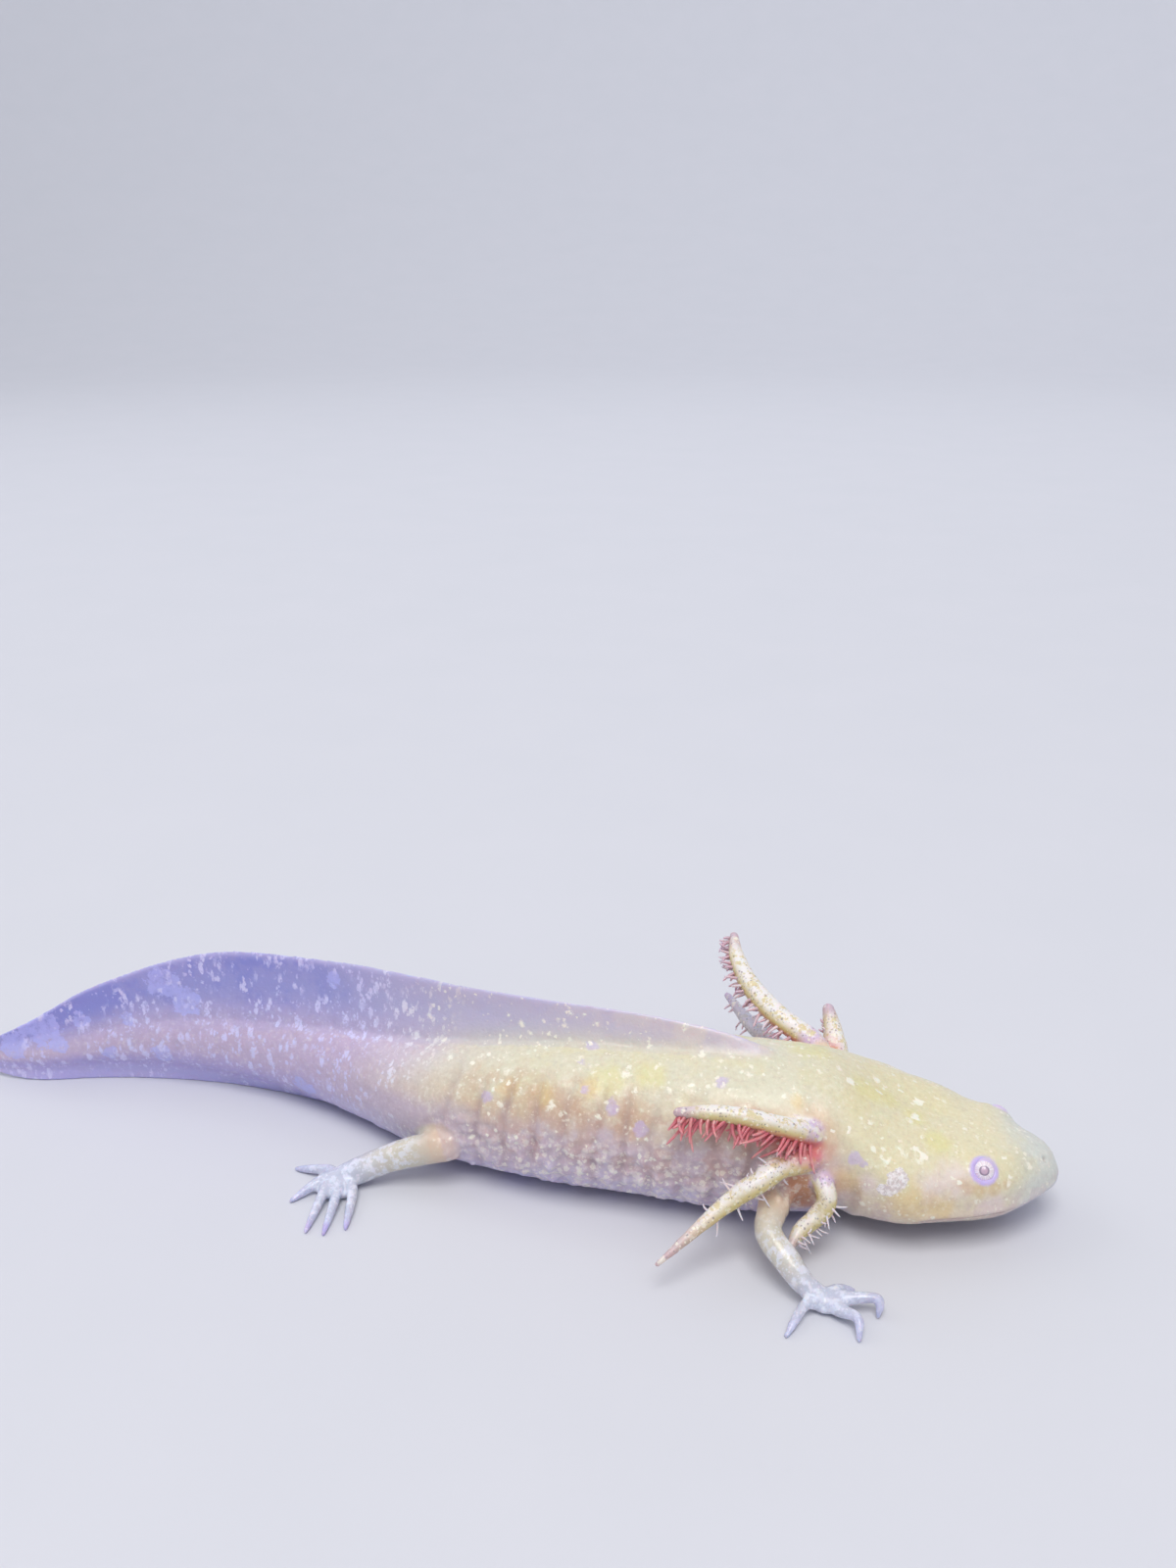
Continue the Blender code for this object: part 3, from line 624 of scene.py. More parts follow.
# %% Marks of the head
def mouth_line(points, station):
    """How far points lie above the line of the mouth, and where along the head it runs."""
    height = 7.0 + 0.035 * (station - 62) - 1.3 * smoothstep(64, 58, station)
    return points[:, 2] - height, smoothstep(58.5, 62.5, station)


def press_mouth(push, points, at):
    """A groove with a full upper lip, and a lower jaw set a little back."""
    from_line, mouth = mouth_line(points, at.station)
    push -= 1.05 * mouth * bell(from_line, 0.32)
    push += 0.28 * mouth * bell(from_line - 1.1, 0.9)
    jaw = smoothstep(0.0, -0.5, from_line) * smoothstep(-3.4, -1.8, from_line)
    push -= 0.32 * smoothstep(60, 68, at.station) * jaw


def press_gill_cover(push, points, at):
    """A lip behind the cheek, and the neck drawn in behind it."""
    neck = at.body * smoothstep(15.0, 10.0, at.tall)
    fold = 48.2 - 2.2 * smoothstep(12, 2, at.tall) + 0.5 * waves(points, 9.0, 43)
    push += 0.28 * neck * bell(at.station - fold - 1.2, 1.8)
    push -= 0.45 * neck * bell(at.station - fold + 1.8, 1.9)


def press_skull(push, points, at):
    """Brows over the eyes, jaw muscles behind them, hollows down the middle and on the snout."""
    for eye in EYES.values():
        push += eye["brow"] * bell(distance(points, eye["centre"]), 4.4)
    head = smoothstep(49, 54, at.station) * (at.up > 0)
    muscle = bell(np.hypot((at.station - 60) / 7, (at.wide - 8.0) / 4.5), 1.0)
    push += head * np.where(at.left > 0, 0.65, 0.45) * muscle
    push -= 0.25 * head * bell(at.left, 2.2) * smoothstep(74, 66, at.station)
    push -= 0.22 * bell(np.hypot(at.station - 79.0, (at.wide - 5.6) * 1.2), 2.2) * (at.up > 0)
    for hole in NOSTRILS:
        away = distance(points, hole)
        push += 0.15 * bell(away, 1.2) - 0.95 * bell(away, 0.50)


press_mouth(push, points, at)
press_gill_cover(push, points, at)
press_skull(push, points, at)
# skin folds round the arm pits and the hips
for leg in LEGS.values():
    away = distance(points, leg["route"][1])
    push -= 0.22 * bell(away - 5.2, 0.7) * at.body * smoothstep(2, 5, at.tall)
print("deepest mark:", round(-push.min(), 2), "mm, highest:", round(push.max(), 2), "mm")


# %% Move the skin, and open the eyes
def off_axis(points, eye):
    """How far points lie in front of an eye's centre, and how far off its axis."""
    offset = points - eye["centre"]
    out = offset @ eye["axis"]
    return out, np.linalg.norm(offset - out[:, None] * eye["axis"], axis=1)


points += push[:, None] * normals
for eye in EYES.values():
    out, away = off_axis(points, eye)
    sink = -1.6 * smoothstep(1.72, 1.30, away)
    rim = eye["rim"] * bell(away - 2.15, eye["rim_width"])
    points = points + ((sink + rim) * (out > -0.5))[:, None] * eye["axis"]
points[:, 2] = np.maximum(points[:, 2], 0.0)
skin.data.vertices.foreach_set("co", (points * MM).astype(np.float32).ravel())
skin.data.update()
smooth(skin, 1, 0.35)
settle(skin)
print("sculpted:", len(skin.data.vertices), "points")

# %% Thin the mesh to a size that is easy to share
MOST_TRIANGLES = 192000
skin.data.calc_loop_triangles()
thin = skin.modifiers.new("thin", "DECIMATE")
thin.ratio = min(1.0, MOST_TRIANGLES / len(skin.data.loop_triangles))
settle(skin)
skin.data.shade_smooth()
skin.data.calc_loop_triangles()
print("skin triangles:", len(skin.data.loop_triangles))

# %% [markdown]
# ## Masks for the colouring
# Colour on this animal follows anatomy: yellow over the back, lilac on belly and fins, red at the
# gill roots; the darker lilac low on the trunk is partly painted shade. So each point of the skin
# is told what it is, once, in plain numbers, most of them from 0 to 1, and the material mixes its
# colours by those numbers. They come from the shape, and from a short table of the spots that this
# animal wears, each with its centre and radius. The masks of the grooves, the creases and the left
# middle gill place painted shade.

# %% Places of the spots
MARKS = {
    "scar": ((57.8, -10.7, 15.1, 1.8), (56.2, -11.6, 13.8, 1.2)),
    "glint": ((57.6, -10.9, 14.9, 2.6), (48.3, 1.4, 26.4, 1.5), (60.1, 7.7, 20.3, 1.2),
              (59.9, 2.1, 20.4, 1.3), (60.8, -5.7, 18.4, 1.2), (53.0, -12.2, 13.0, 2.0),
              (63.0, -9.6, 12.6, 2.0), (76.0, -2.0, 13.6, 1.3), (5.0, -3.0, 28.8, 2.0),
              (-8.0, -4.0, 27.0, 1.8), (22.0, -8.0, 27.0, 1.6), (36.0, -2.0, 29.2, 1.8)),
    "lilac": ((50.8, -10.2, 18.0, 1.3), (52.4, -10.4, 17.4, 0.7), (1.8, -3.0, 28.4, 1.4),
              (0.9, -6.6, 27.3, 0.8), (-15.9, -11.6, 20.4, 1.3), (8.1, -12.4, 22.6, 1.6),
              (2.4, -11.0, 24.4, 0.9), (13.6, -13.9, 20.0, 1.4), (26.3, -7.6, 27.7, 1.2),
              (17.0, 8.0, 27.5, 1.5), (-8.0, 11.0, 22.0, 1.7), (52.0, 15.0, 20.5, 1.4)),
    "patch": ((-92.8, 6.9, 23.1, 3.6), (-87.6, 7.4, 19.4, 3.2), (-118.3, -0.2, 12.9, 4.2),
              (-124.0, -1.6, 8.6, 3.0), (-110.1, 2.5, 14.5, 1.8), (-100.6, 5.0, 14.5, 1.6),
              (-53.9, 6.4, 29.6, 1.8), (-114.4, 0.1, 9.3, 2.0), (-93.0, 4.2, 7.9, 2.2),
              (-104.0, 2.0, 7.0, 1.8), (-60.0, 2.0, 6.5, 2.4), (-53.0, -2.0, 5.5, 2.2)),
    "ochre": ((60.5, -11.4, 11.2, 3.4), (65.8, -9.7, 10.2, 2.6), (61.0, 24.0, 11.2, 3.4),
              (66.5, 21.6, 10.2, 3.0), (39.9, -7.7, 26.1, 1.3), (-5.0, -12.0, 22.6, 2.0),
              (-12.0, -11.0, 22.4, 1.8), (3.0, -10.8, 24.8, 1.8), (49.5, -11.6, 13.5, 2.4)),
    "tan": ((-17.0, -10.2, 21.0, 4.5), (-9.0, -11.6, 21.5, 5.0), (0.0, -12.2, 22.0, 5.0),
            (10.0, -12.8, 21.0, 5.0), (-17.0, 10.2, 21.0, 4.5), (-5.0, 12.0, 21.0, 5.0),
            (8.0, 13.0, 21.0, 5.0)),
    "rust": ((68.7, -7.4, 14.5, 0.9), (70.0, -7.3, 13.6, 1.2), (72.1, -6.5, 13.0, 1.3),
             (74.5, -5.3, 13.0, 1.2), (76.6, -3.9, 13.3, 0.9)),
    "star": ((48.1, 1.0, 26.5, 0.9), (60.1, 7.2, 20.3, 0.8), (60.0, 1.6, 20.5, 0.8),
             (53.6, -9.0, 19.7, 0.5), (60.8, -5.5, 18.8, 0.6), (62.2, -6.1, 17.9, 0.7),
             (46.5, -9.3, 22.2, 0.5), (49.3, -8.1, 22.4, 0.5), (68.4, -7.4, 14.5, 0.5),
             (75.9, -0.5, 16.0, 0.5), (53.3, 3.7, 23.4, 0.5), (56.8, 8.3, 21.5, 0.5)),
    "hollow": ((41.4, -11.4, 9.8, 3.8), (42.0, -12.5, 13.0, 2.8), (42.0, 18.0, 12.0, 3.4)),
    "rose": ((67.6, -7.5, 14.6, 3.2), (63.6, -9.2, 14.0, 2.4), (74.0, -5.5, 9.4, 2.6),
             (53.0, -12.5, 14.0, 2.2), (68.0, 20.5, 14.6, 3.2), (53.0, 23.5, 14.0, 2.2)),
    "lemon": ((51.3, 1.8, 24.7, 3.0), (54.8, 3.3, 22.7, 2.4), (64.0, -2.2, 18.6, 2.4),
              (59.7, 1.7, 20.4, 2.2), (14.0, -8.0, 27.5, 2.6), (6.0, -9.4, 26.0, 3.0),
              (40.0, 6.0, 28.0, 4.0)),
}


def spots(points, places, seed):
    """1 inside spots given by centre and radius, 0 outside, with uneven edges."""
    found = np.zeros(len(points))
    wobble = 0.22 * waves(points, 2.4, seed)
    for *centre, radius in places:
        away = distance(points, centre) / radius
        found = np.maximum(found, smoothstep(1.5, 0.5, away + wobble))
    return found


points = read_vertices(skin.data) / MM
masks = {name: spots(points, places, 50 + i) for i, (name, places) in enumerate(MARKS.items())}
print("spots:", {name: len(places) for name, places in MARKS.items()})


# %% Where the legs and the gills are
def near_route(points, limb):
    """How far points lie from a tube's skin, how far along it, and how far above its axis."""
    route, radii = route_through(limb["route"], limb["radii"], 3)
    best = np.full(len(points), 1e9)
    way = np.zeros(len(points))
    count = len(route) - 1
    for i in range(count):
        line = route[i + 1] - route[i]
        t = np.clip(((points - route[i]) @ line) / (line @ line), 0, 1)
        axis = route[i] + t[:, None] * line
        gap = np.linalg.norm(points - axis, axis=1) - (radii[i] + t * (radii[i + 1] - radii[i]))
        closer = gap < best
        best = np.where(closer, gap, best)
        way = np.where(closer, (i + t) / count, way)
    return best, way, points[:, 2] - np.interp(way, np.linspace(0, 1, len(route)), route[:, 2])


def limb_masks(points):
    """Where the skin is leg, how far down it, and how near a toe tip."""
    on, way_down, toe_tip = np.zeros((3, len(points)))
    for leg in LEGS.values():
        gap, way, _ = near_route(points, leg)
        palm = distance(points, leg["route"][-1])
        foot = smoothstep(13.5, 11.5, palm) * smoothstep(9.0, 3.0, points[:, 2])
        here = np.maximum(smoothstep(1.6, 0.5, gap) * smoothstep(0.12, 0.26, way), foot)
        on = np.maximum(on, here)
        way_down = np.where(here > 0.02, way, way_down)
        for toe in leg["toes"]:
            toe_tip = np.maximum(toe_tip, smoothstep(6.0, 0.5, distance(points, toe[-1])))
    return dict(limb=on, limb_way=way_down, toe=toe_tip)


def gill_masks(points):
    """Where the skin is gill stalk, how far out, its flush at the root, its underside, the red below the
    upper stalks, and the left middle stalk, which gets painted shade.
    """
    on, way_out, flush, beneath, blood, cool = np.zeros((6, len(points)))
    for name, gill in GILLS.items():
        gap, way, above = near_route(points, gill)
        here = smoothstep(1.0, 0.3, gap) * smoothstep(0.14, 0.24, way)
        way_out = np.where(here > on, way, way_out)
        on = np.maximum(on, here)
        flush = np.maximum(flush, smoothstep(6.5, 1.5, distance(points, gill["route"][1])))
        beneath = np.maximum(beneath, here * smoothstep(1.5, 0.0, above))
        if name == "gill_left_middle":
            cool = here
        if name.endswith("upper"):
            near_root = smoothstep(0.85, 0.20, way) * smoothstep(0.10, 0.20, way)
            red = smoothstep(5.5, 0.8, gap) * near_root * smoothstep(0.3, -1.0, above)
            blood = np.maximum(blood, red)
    return dict(gill=on, gill_way=way_out, flush=flush, beneath=beneath, blood=blood, cool=cool)


masks.update(limb_masks(points))
masks.update(gill_masks(points))
print("points on a leg:", int((masks["limb"] > 0.5).sum()), "on a gill:", int((masks["gill"] > 0.5).sum()))


# %% Where the fins, creases and eye rims are, and store it all
def mark(data, name, values):
    """Store one number for each vertex."""
    layer = data.attributes.new(name, "FLOAT", "POINT")
    layer.data.foreach_set("value", np.asarray(values, np.float32))


def fin_masks(points, at, free):
    """Where the skin is fin, and where it is the edge of a fin."""
    up_fin = at.up - at.rise
    fin_tall = np.maximum(read_at(UPPER_FIN, at.station)[:, 0] - at.height - at.rise, 1.0)
    on_fin = (np.abs(at.left) < 3.5) * smoothstep(38, 30, at.station)
    below = (at.height - at.drop - points[:, 2]) / np.maximum(at.height - at.drop, 0.8)
    low_fin = smoothstep(-0.2, 0.5, below) * smoothstep(-50, -58, at.station)
    fin = np.maximum(smoothstep(-0.35, 0.55, up_fin / fin_tall) * on_fin, low_fin) * free
    return dict(fin=fin, fin_edge=smoothstep(0.88, 0.98, up_fin / fin_tall) * on_fin * free)


at = where_on_body(points)
free = (1 - masks["limb"]) * (1 - masks["gill"])
masks["station"] = at.station / 100
# the stored level goes on below the axis, down to -1 at the belly
masks["level"] = np.where(at.up > 0, at.level, -at.level)
masks.update(fin_masks(points, at, free))
# the groove mask places painted shade in the costal grooves, and keeps the pebble highlights off them
flank, groove = costal(points, at.station)
masks["groove"] = flank * groove * free
# the crease mask places painted shade along the mouth line and in the nostrils
from_line, mouth = mouth_line(points, at.station)
crease = mouth * bell(from_line, 0.42)
for hole in NOSTRILS:
    crease = np.maximum(crease, bell(distance(points, hole), 0.55))
masks["crease"] = crease * free
masks["eye_rim"] = np.zeros(len(points))
for eye in EYES.values():
    near = distance(points, eye["centre"]) < 6
    ring = eye["ring"] * smoothstep(2.80, 2.35, off_axis(points, eye)[1]) * near
    masks["eye_rim"] = np.maximum(masks["eye_rim"], ring)
for name, values in masks.items():
    mark(skin.data, name, values)
print("masks:", list(masks))

# %% [markdown]
# ## Feathers of the gills
# The red feathering is where the animal breathes: soft threads, full of blood, in rows along the
# rear and lower side of each stalk. Each thread is a thin tapered tube that droops and bends its
# own way. A hair system would be quicker to comb, but real tubes can be measured and exported.

# %% The fans, gill by gill
FANS = {
    "gill_right_upper": dict(hang=(-0.10, -0.72, -0.95), rows=(-36, -12, 14), count=24,
                             lean=(0.15, 0.95), span=(0.15, 1.0), length=(5.0, 4.2),
                             thick=0.40, tone=0.0),
    "gill_right_middle": dict(hang=(0.45, -0.50, -0.80), rows=(-20, 172), count=8,
                              lean=(0.0, 0.6), span=(0.38, 0.84), length=(2.6, 3.0),
                              thick=0.25, tone=1.0),
    "gill_right_lower": dict(hang=(0.90, -0.50, -0.30), rows=(-28, 34), count=8,
                             lean=(0.0, 0.6), span=(0.42, 0.94), length=(2.5, 2.8),
                             thick=0.25, tone=0.95),
    "gill_left_upper": dict(hang=(-0.90, -0.25, -0.25), rows=(-30, -6, 16), count=20,
                            lean=(0.15, 0.55), span=(0.20, 0.99), length=(3.8, 2.8),
                            thick=0.40, tone=0.60),
    "gill_left_middle": dict(hang=(-0.80, -0.30, -0.60), rows=(-20, 12), count=9,
                             lean=(0.1, 0.8), span=(0.30, 0.97), length=(1.8, 2.4),
                             thick=0.30, tone=0.75),
    "gill_left_lower": dict(hang=(-0.90, -0.20, 0.10), rows=(-24, 8), count=5,
                            lean=(0.2, 0.7), span=(0.50, 0.86), length=(2.4, 1.6),
                            thick=0.36, tone=0.62),
}
print("threads:", sum(spec["count"] * len(spec["rows"]) for spec in FANS.values()))

# %% One thread
THREAD_SIDES = 5


def turned(vector, axis, degrees):
    """A vector turned about an axis."""
    return np.array(Matrix.Rotation(math.radians(degrees), 3, Vector(axis)) @ Vector(vector))


def strand(root, way, sweep, length, thick):
    """One thread: it bends down and sweeps back, tapers, and stays off the floor."""
    t = np.array((0.0, 0.16, 0.32, 0.48, 0.64, 0.80, 0.93, 1.0))[:, None]
    line = root + way * length * t + sweep * length * t ** 2
    line[:, 2] = np.maximum(line[:, 2], 0.4)
    radii = thick * (1 - 0.55 * t[:, 0] ** 1.5)
    radii[-1] *= 0.45
    return tube(line, radii, THREAD_SIDES, (-0.31, -0.52, -0.79))


print("faces of a thread:", len(strand(np.zeros(3), np.array((1, 0, 0)), np.zeros(3), 4.0, 0.3)[1]))


# %% Comb the threads
def fan(name, spec, random):
    """All threads of one gill, with how far along each point is and its tone."""
    route, radii = route_through(GILLS[name]["route"], GILLS[name]["radii"])
    ahead = np.gradient(route, axis=0)
    parts, along, tones = [], [], []
    for i in range(spec["count"]):
        for row in spec["rows"]:
            share = (i + random.uniform(0.1, 0.9)) / spec["count"]
            place = (spec["span"][0] + share * (spec["span"][1] - spec["span"][0])) * (len(route) - 1)
            low = min(int(place), len(route) - 2)
            centre = route[low] + (place - low) * (route[low + 1] - route[low])
            axis = ahead[low] / np.linalg.norm(ahead[low])
            hang = np.array(spec["hang"]) - axis * (axis @ np.array(spec["hang"]))
            hang = turned(hang / np.linalg.norm(hang), axis, row + random.uniform(-9, 9))
            way = hang + axis * random.uniform(*spec["lean"])
            way /= np.linalg.norm(way)
            sweep = np.array((0, 0, -0.10)) + axis * random.uniform(-0.55, 0.45)
            sweep += random.normal(0, 0.20, 3)
            length = np.interp(share, (0, 1), spec["length"]) * random.uniform(0.6, 1.1)
            part = strand(centre + hang * radii[low] * 0.55, way, sweep, length, spec["thick"])
            parts.append(part)
            rings = len(part[0]) // THREAD_SIDES
            along += list(np.repeat(np.linspace(0, 1, rings), THREAD_SIDES))
            tones += [np.clip(spec["tone"] + random.uniform(-0.15, 0.15), 0, 1)] * len(part[0])
    return parts, along, tones


feathers = []
random = np.random.RandomState(17)
for name, spec in FANS.items():
    parts, along, tones = fan(name, spec, random)
    made = piece(name.replace("gill", "feathers"), mesh_from(name, *joined(parts)))
    mark(made.data, "along", along)
    mark(made.data, "tone", tones)
    made.data.shade_smooth()
    feathers.append(made)
print("feathers:", [made.name for made in feathers])

# %% [markdown]
# ## Eyes
# An axolotl has no eyelids: each eye is a small ball in a ring of skin, with a narrow bright iris
# round the pupil. The ball bulges a little at the front, like a lens. Rings of colour follow the
# distance from its axis, so that distance is stored on its points.

# %% The two eyeballs
EYE_SIDES = 64


def eyeball(name, eye):
    """A ball with a slight bulge at the front, turned to look along the eye's axis."""
    polar = np.radians(np.concatenate([np.linspace(0.5, 60, 40), np.linspace(64, 179.5, 24)]))
    bulge = 1 + 0.05 * np.exp(-(polar / 0.75) ** 2)
    angle = circle(EYE_SIDES)
    out = (EYE_RADIUS * bulge * np.sin(polar))[:, None]
    ahead = EYE_RADIUS * bulge * np.cos(polar)
    rings = np.stack([out * np.cos(angle), out * np.sin(angle),
                      np.repeat(ahead[:, None], EYE_SIDES, 1)], -1)
    turn = np.array(Vector(eye["axis"]).to_track_quat("Z", "Y").to_matrix())
    vertices, faces = stack(rings[::-1])
    made = piece(name + "_ball", mesh_from(name, (vertices @ turn.T + eye["centre"]) * MM, faces))
    mark(made.data, "from_axis", np.repeat(out[::-1, 0], EYE_SIDES))
    mark(made.data, "round_axis", np.tile(angle / (2 * np.pi), len(polar)))
    made.data.shade_smooth()
    return made


eyeballs = {name: eyeball(name, eye) for name, eye in EYES.items()}
print("eyes:", list(eyeballs))

# %% [markdown]
# ## Shader helpers and shared effects
# A material here is a tree of nodes. A few small helpers keep it short to write; each adds a node
# to the tree that is being built, held in the name tree, and gives back what comes out of it. The
# name surface holds the Principled node that the tree ends in.
# Effects that several finishes share are built once as node groups: irregular bright specks, soft
# blotches, and the fine grain of moist skin.

# %% Helpers that add a node
def paint(colour):
    """A colour given as on a screen, 0 to 255, in the linear light that shaders use."""
    if isinstance(colour, bpy.types.NodeSocket):
        return colour
    parts = [c / 255 for c in colour]
    return [c / 12.92 if c <= 0.04045 else ((c + 0.055) / 1.055) ** 2.4 for c in parts] + [1.0]


def node(kind, inputs, out=0, **settings):
    """Add a node, set its fields, wire or set its inputs, and return one of its outputs."""
    made = tree.nodes.new(kind)
    for field, value in settings.items():
        setattr(made, field, value)
    for socket, value in inputs.items():
        if isinstance(value, bpy.types.NodeSocket):
            tree.links.new(value, made.inputs[socket])
        else:
            made.inputs[socket].default_value = value
    return made.outputs[out]


print("a mid grey in linear light:", [round(part, 3) for part in paint((128, 128, 128))])


# %% Helpers for sums and blends of nodes
def calc(operation, *values):
    """A math node for values, taken two at a time."""
    total = values[0]
    for value in values[1:]:
        total = node("ShaderNodeMath", {0: total, 1: value}, operation=operation)
    return total


def plus(*values):
    """The sum of values."""
    return calc("ADD", *values)


def minus(first, second):
    """The first value less the second."""
    return calc("SUBTRACT", first, second)


def times(*values):
    """The product of values."""
    return calc("MULTIPLY", *values)


def most(*values):
    """The largest of values."""
    return calc("MAXIMUM", *values)


def rise(value, low, high, top=1.0):
    """0 below low, top above high, smooth between."""
    inputs = {"Value": value, "From Min": low, "From Max": high, "To Min": 0.0, "To Max": top}
    return node("ShaderNodeMapRange", inputs, interpolation_type="SMOOTHSTEP")


def between(factor, first, second):
    """Blend two colours."""
    inputs = {0: factor, 6: paint(first), 7: paint(second)}
    return node("ShaderNodeMix", inputs, 2, data_type="RGBA")


def ramp(value, colour, *steps):
    """Colours in turn: each step says where its colour starts and where it is full."""
    for low, high, above in steps:
        colour = between(rise(value, low, high), colour, above)
    return colour


print("sums of nodes:", [helper.__name__ for helper in (plus, minus, times, most, rise)])


# %% Helpers for noise and shared groups
def scaled_noise(where, scale, detail, rough=0.5, out=0):
    """Cloudy noise."""
    inputs = {"Vector": where, "Scale": scale, "Detail": detail, "Roughness": rough}
    return node("ShaderNodeTexNoise", inputs, out)


def noise(where, size, detail=2.0, rough=0.5):
    """Cloudy noise with clouds of about this size in millimetres."""
    return scaled_noise(where, 1000.0 / size, detail, rough)


def group(name, *labels):
    """A new node group for an effect at a place: its tree, its inputs, and its output node."""
    made = bpy.data.node_groups.new(name, "ShaderNodeTree")
    made.interface.new_socket("Place", in_out="INPUT", socket_type="NodeSocketVector")
    for label in labels:
        made.interface.new_socket(label, in_out="INPUT", socket_type="NodeSocketFloat")
    made.interface.new_socket("Effect", in_out="OUTPUT", socket_type="NodeSocketFloat")
    return made, made.nodes.new("NodeGroupInput").outputs, made.nodes.new("NodeGroupOutput").inputs


print("groups so far:", len(bpy.data.node_groups))

# %% Specks: small irregular bright spots
tree, start, end = group("Specks", "Spacing", "Fill")
SPECKS = tree
scale = calc("DIVIDE", 1000.0, start["Spacing"])
shake = scaled_noise(start["Place"], times(scale, 2.2), 3.0, out="Color")
shift = node("ShaderNodeVectorMath", {0: shake, 1: (0.5, 0.5, 0.5)}, operation="SUBTRACT")
reach = node("ShaderNodeVectorMath", {0: shift, "Scale": calc("DIVIDE", 0.8, scale)}, operation="SCALE")
moved = node("ShaderNodeVectorMath", {0: start["Place"], 1: reach}, operation="ADD")
cells = node("ShaderNodeTexVoronoi", {"Vector": moved, "Scale": scale}, "Distance")
chance = node("ShaderNodeSeparateColor", {0: cells.node.outputs["Color"]})
inside = minus(times(chance, start["Fill"]), cells)
grains = scaled_noise(start["Place"], times(scale, 5.0), 2.0)
tree.links.new(times(rise(inside, -0.02, 0.18), rise(grains, 0.22, 0.44)), end["Effect"])
print("group:", tree.name)

# %% Blotches: soft-edged patches
tree, start, end = group("Blotches", "Size", "Cover")
BLOTCHES = tree
cloud = scaled_noise(start["Place"], calc("DIVIDE", 1000.0, start["Size"]), 4.0, 0.58)
limit = minus(0.68, times(start["Cover"], 0.36))
tree.links.new(rise(minus(cloud, limit), -0.03, 0.09), end["Effect"])
print("group:", tree.name)

# %% Grain: the height of fine moist skin
tree, start, end = group("Skin grain")
GRAIN = tree
soft = noise(start["Place"], 2.2, 3.0, 0.6)
fine = noise(start["Place"], 0.55)
pores = node("ShaderNodeTexVoronoi", {"Vector": start["Place"], "Scale": 1100.0}, "Distance")
height = plus(times(soft, 1.2), times(fine, 0.5), times(rise(pores, 0.0, 0.45), 0.35))
tree.links.new(height, end["Effect"])
print("group:", tree.name)


# %% Helpers that every finish uses
def material(name, roughness, slot_colour):
    """A new material; returns it, its tree and its surface node."""
    made = bpy.data.materials.new(name)
    made.use_nodes = True
    made.diffuse_color = paint(slot_colour)
    surface = made.node_tree.nodes["Principled BSDF"]
    surface.inputs["Roughness"].default_value = roughness
    return made, made.node_tree, surface


def object_place():
    """Where a point lies on its piece."""
    return node("ShaderNodeTexCoord", {}, "Object")


def mask(name):
    """A mask stored on the points."""
    return node("ShaderNodeAttribute", {}, "Fac", attribute_name=name)


def connect(socket, value):
    """Wire a value into the surface."""
    tree.links.new(value, surface.inputs[socket])


def flesh(weight, reach):
    """Let light into the surface, with its reach in millimetres."""
    surface.inputs["Subsurface Weight"].default_value = weight
    surface.inputs["Subsurface Radius"].default_value = (1.0, 0.45, 0.35)
    surface.inputs["Subsurface Scale"].default_value = reach * MM


def bump(height, strength, depth):
    """Raise and sink the surface by a height, as deep as this in millimetres."""
    inputs = {"Strength": strength, "Distance": depth * MM, "Height": height}
    connect("Normal", node("ShaderNodeBump", inputs))


def effect(shared, where, **inputs):
    """A shared group, laid at a place."""
    return node("ShaderNodeGroup", {"Place": where, **inputs}, node_tree=shared)


print("shared groups:", [shared.name for shared in (SPECKS, BLOTCHES, GRAIN)])

# %% [markdown]
# ## Finish of the skin
# A golden albino has no black pigment: its yellow cells show over the back, the blood shows pink
# where the skin is thin, and pale reflecting cells glint as white specks. Skin also lets light in
# a little way, which Subsurface gives, with a reach of a few millimetres, most for red light.
# The colours below are blended in layers, from the belly up, then along the body, then the spots.
# Some layers are painted shade and painted highlights, each said where it is laid.

# %% Start the skin material
skin_finish, tree, surface = material("axolotl_skin", 0.40, (220, 207, 170))
flesh(0.30, 2.2)
place = object_place()
level, along = mask("level"), mask("station")
cloud = noise(place, 9.0, 3.0, 0.6)
fine_cloud = noise(place, 2.6, 3.0, 0.6)
crumbs = noise(place, 1.5, 4.0, 0.7)


def over(colour, factor, strength, above):
    """Lay a colour over another where a mask says."""
    return between(times(factor, strength), colour, above)


def ragged(name, low, high):
    """A stored mask with its edge broken up by fine noise."""
    broken = plus(mask(name), times(minus(crumbs, 0.5), 1.9))
    return times(rise(broken, low, high), rise(mask(name), 0.02, 0.12))


def blotches(size, cover):
    """Soft patches of about this size in millimetres."""
    return effect(BLOTCHES, place, Size=size, Cover=cover)


def specks(spacing, fill, where=place):
    """Irregular specks this far apart in millimetres."""
    return effect(SPECKS, where, Spacing=spacing, Fill=fill)


print("skin material started:", len(tree.nodes), "nodes")

# %% The ground colours, from the belly up and along the body
height = plus(level, times(minus(cloud, 0.5), 0.7))

# trunk: lilac belly, greyish pink flank, cream yellow back; the darker, bluer lilac towards the belly is
# partly painted shade
trunk = ramp(height, (184, 176, 232), (-1.0, -0.55, (206, 197, 224)), (-0.60, 0.0, (204, 187, 198)),
             (0.05, 0.55, (220, 206, 180)), (0.35, 0.85, (220, 216, 192)))

# head: khaki cream, pinker on the cheek, lilac below, a paler green-grey snout
head = ramp(height, (214, 203, 204), (-0.95, -0.35, (228, 212, 190)), (-0.30, 0.35, (226, 218, 184)))
snout = ramp(height, (206, 202, 226), (-0.6, 0.0, (211, 214, 206)))
head = ramp(along, head, (0.72, 0.81, snout))
colour = ramp(along, trunk, (0.39, 0.48, head))

# tail: pinkish lilac, with the cream of the back running out along its upper side
tail = ramp(height, (180, 168, 222), (-0.8, 0.2, (198, 180, 208)))
colour = ramp(minus(along, times(height, 0.16)), colour, (-0.26, -0.62, tail))
print("with trunk, head and tail:", len(tree.nodes), "nodes")
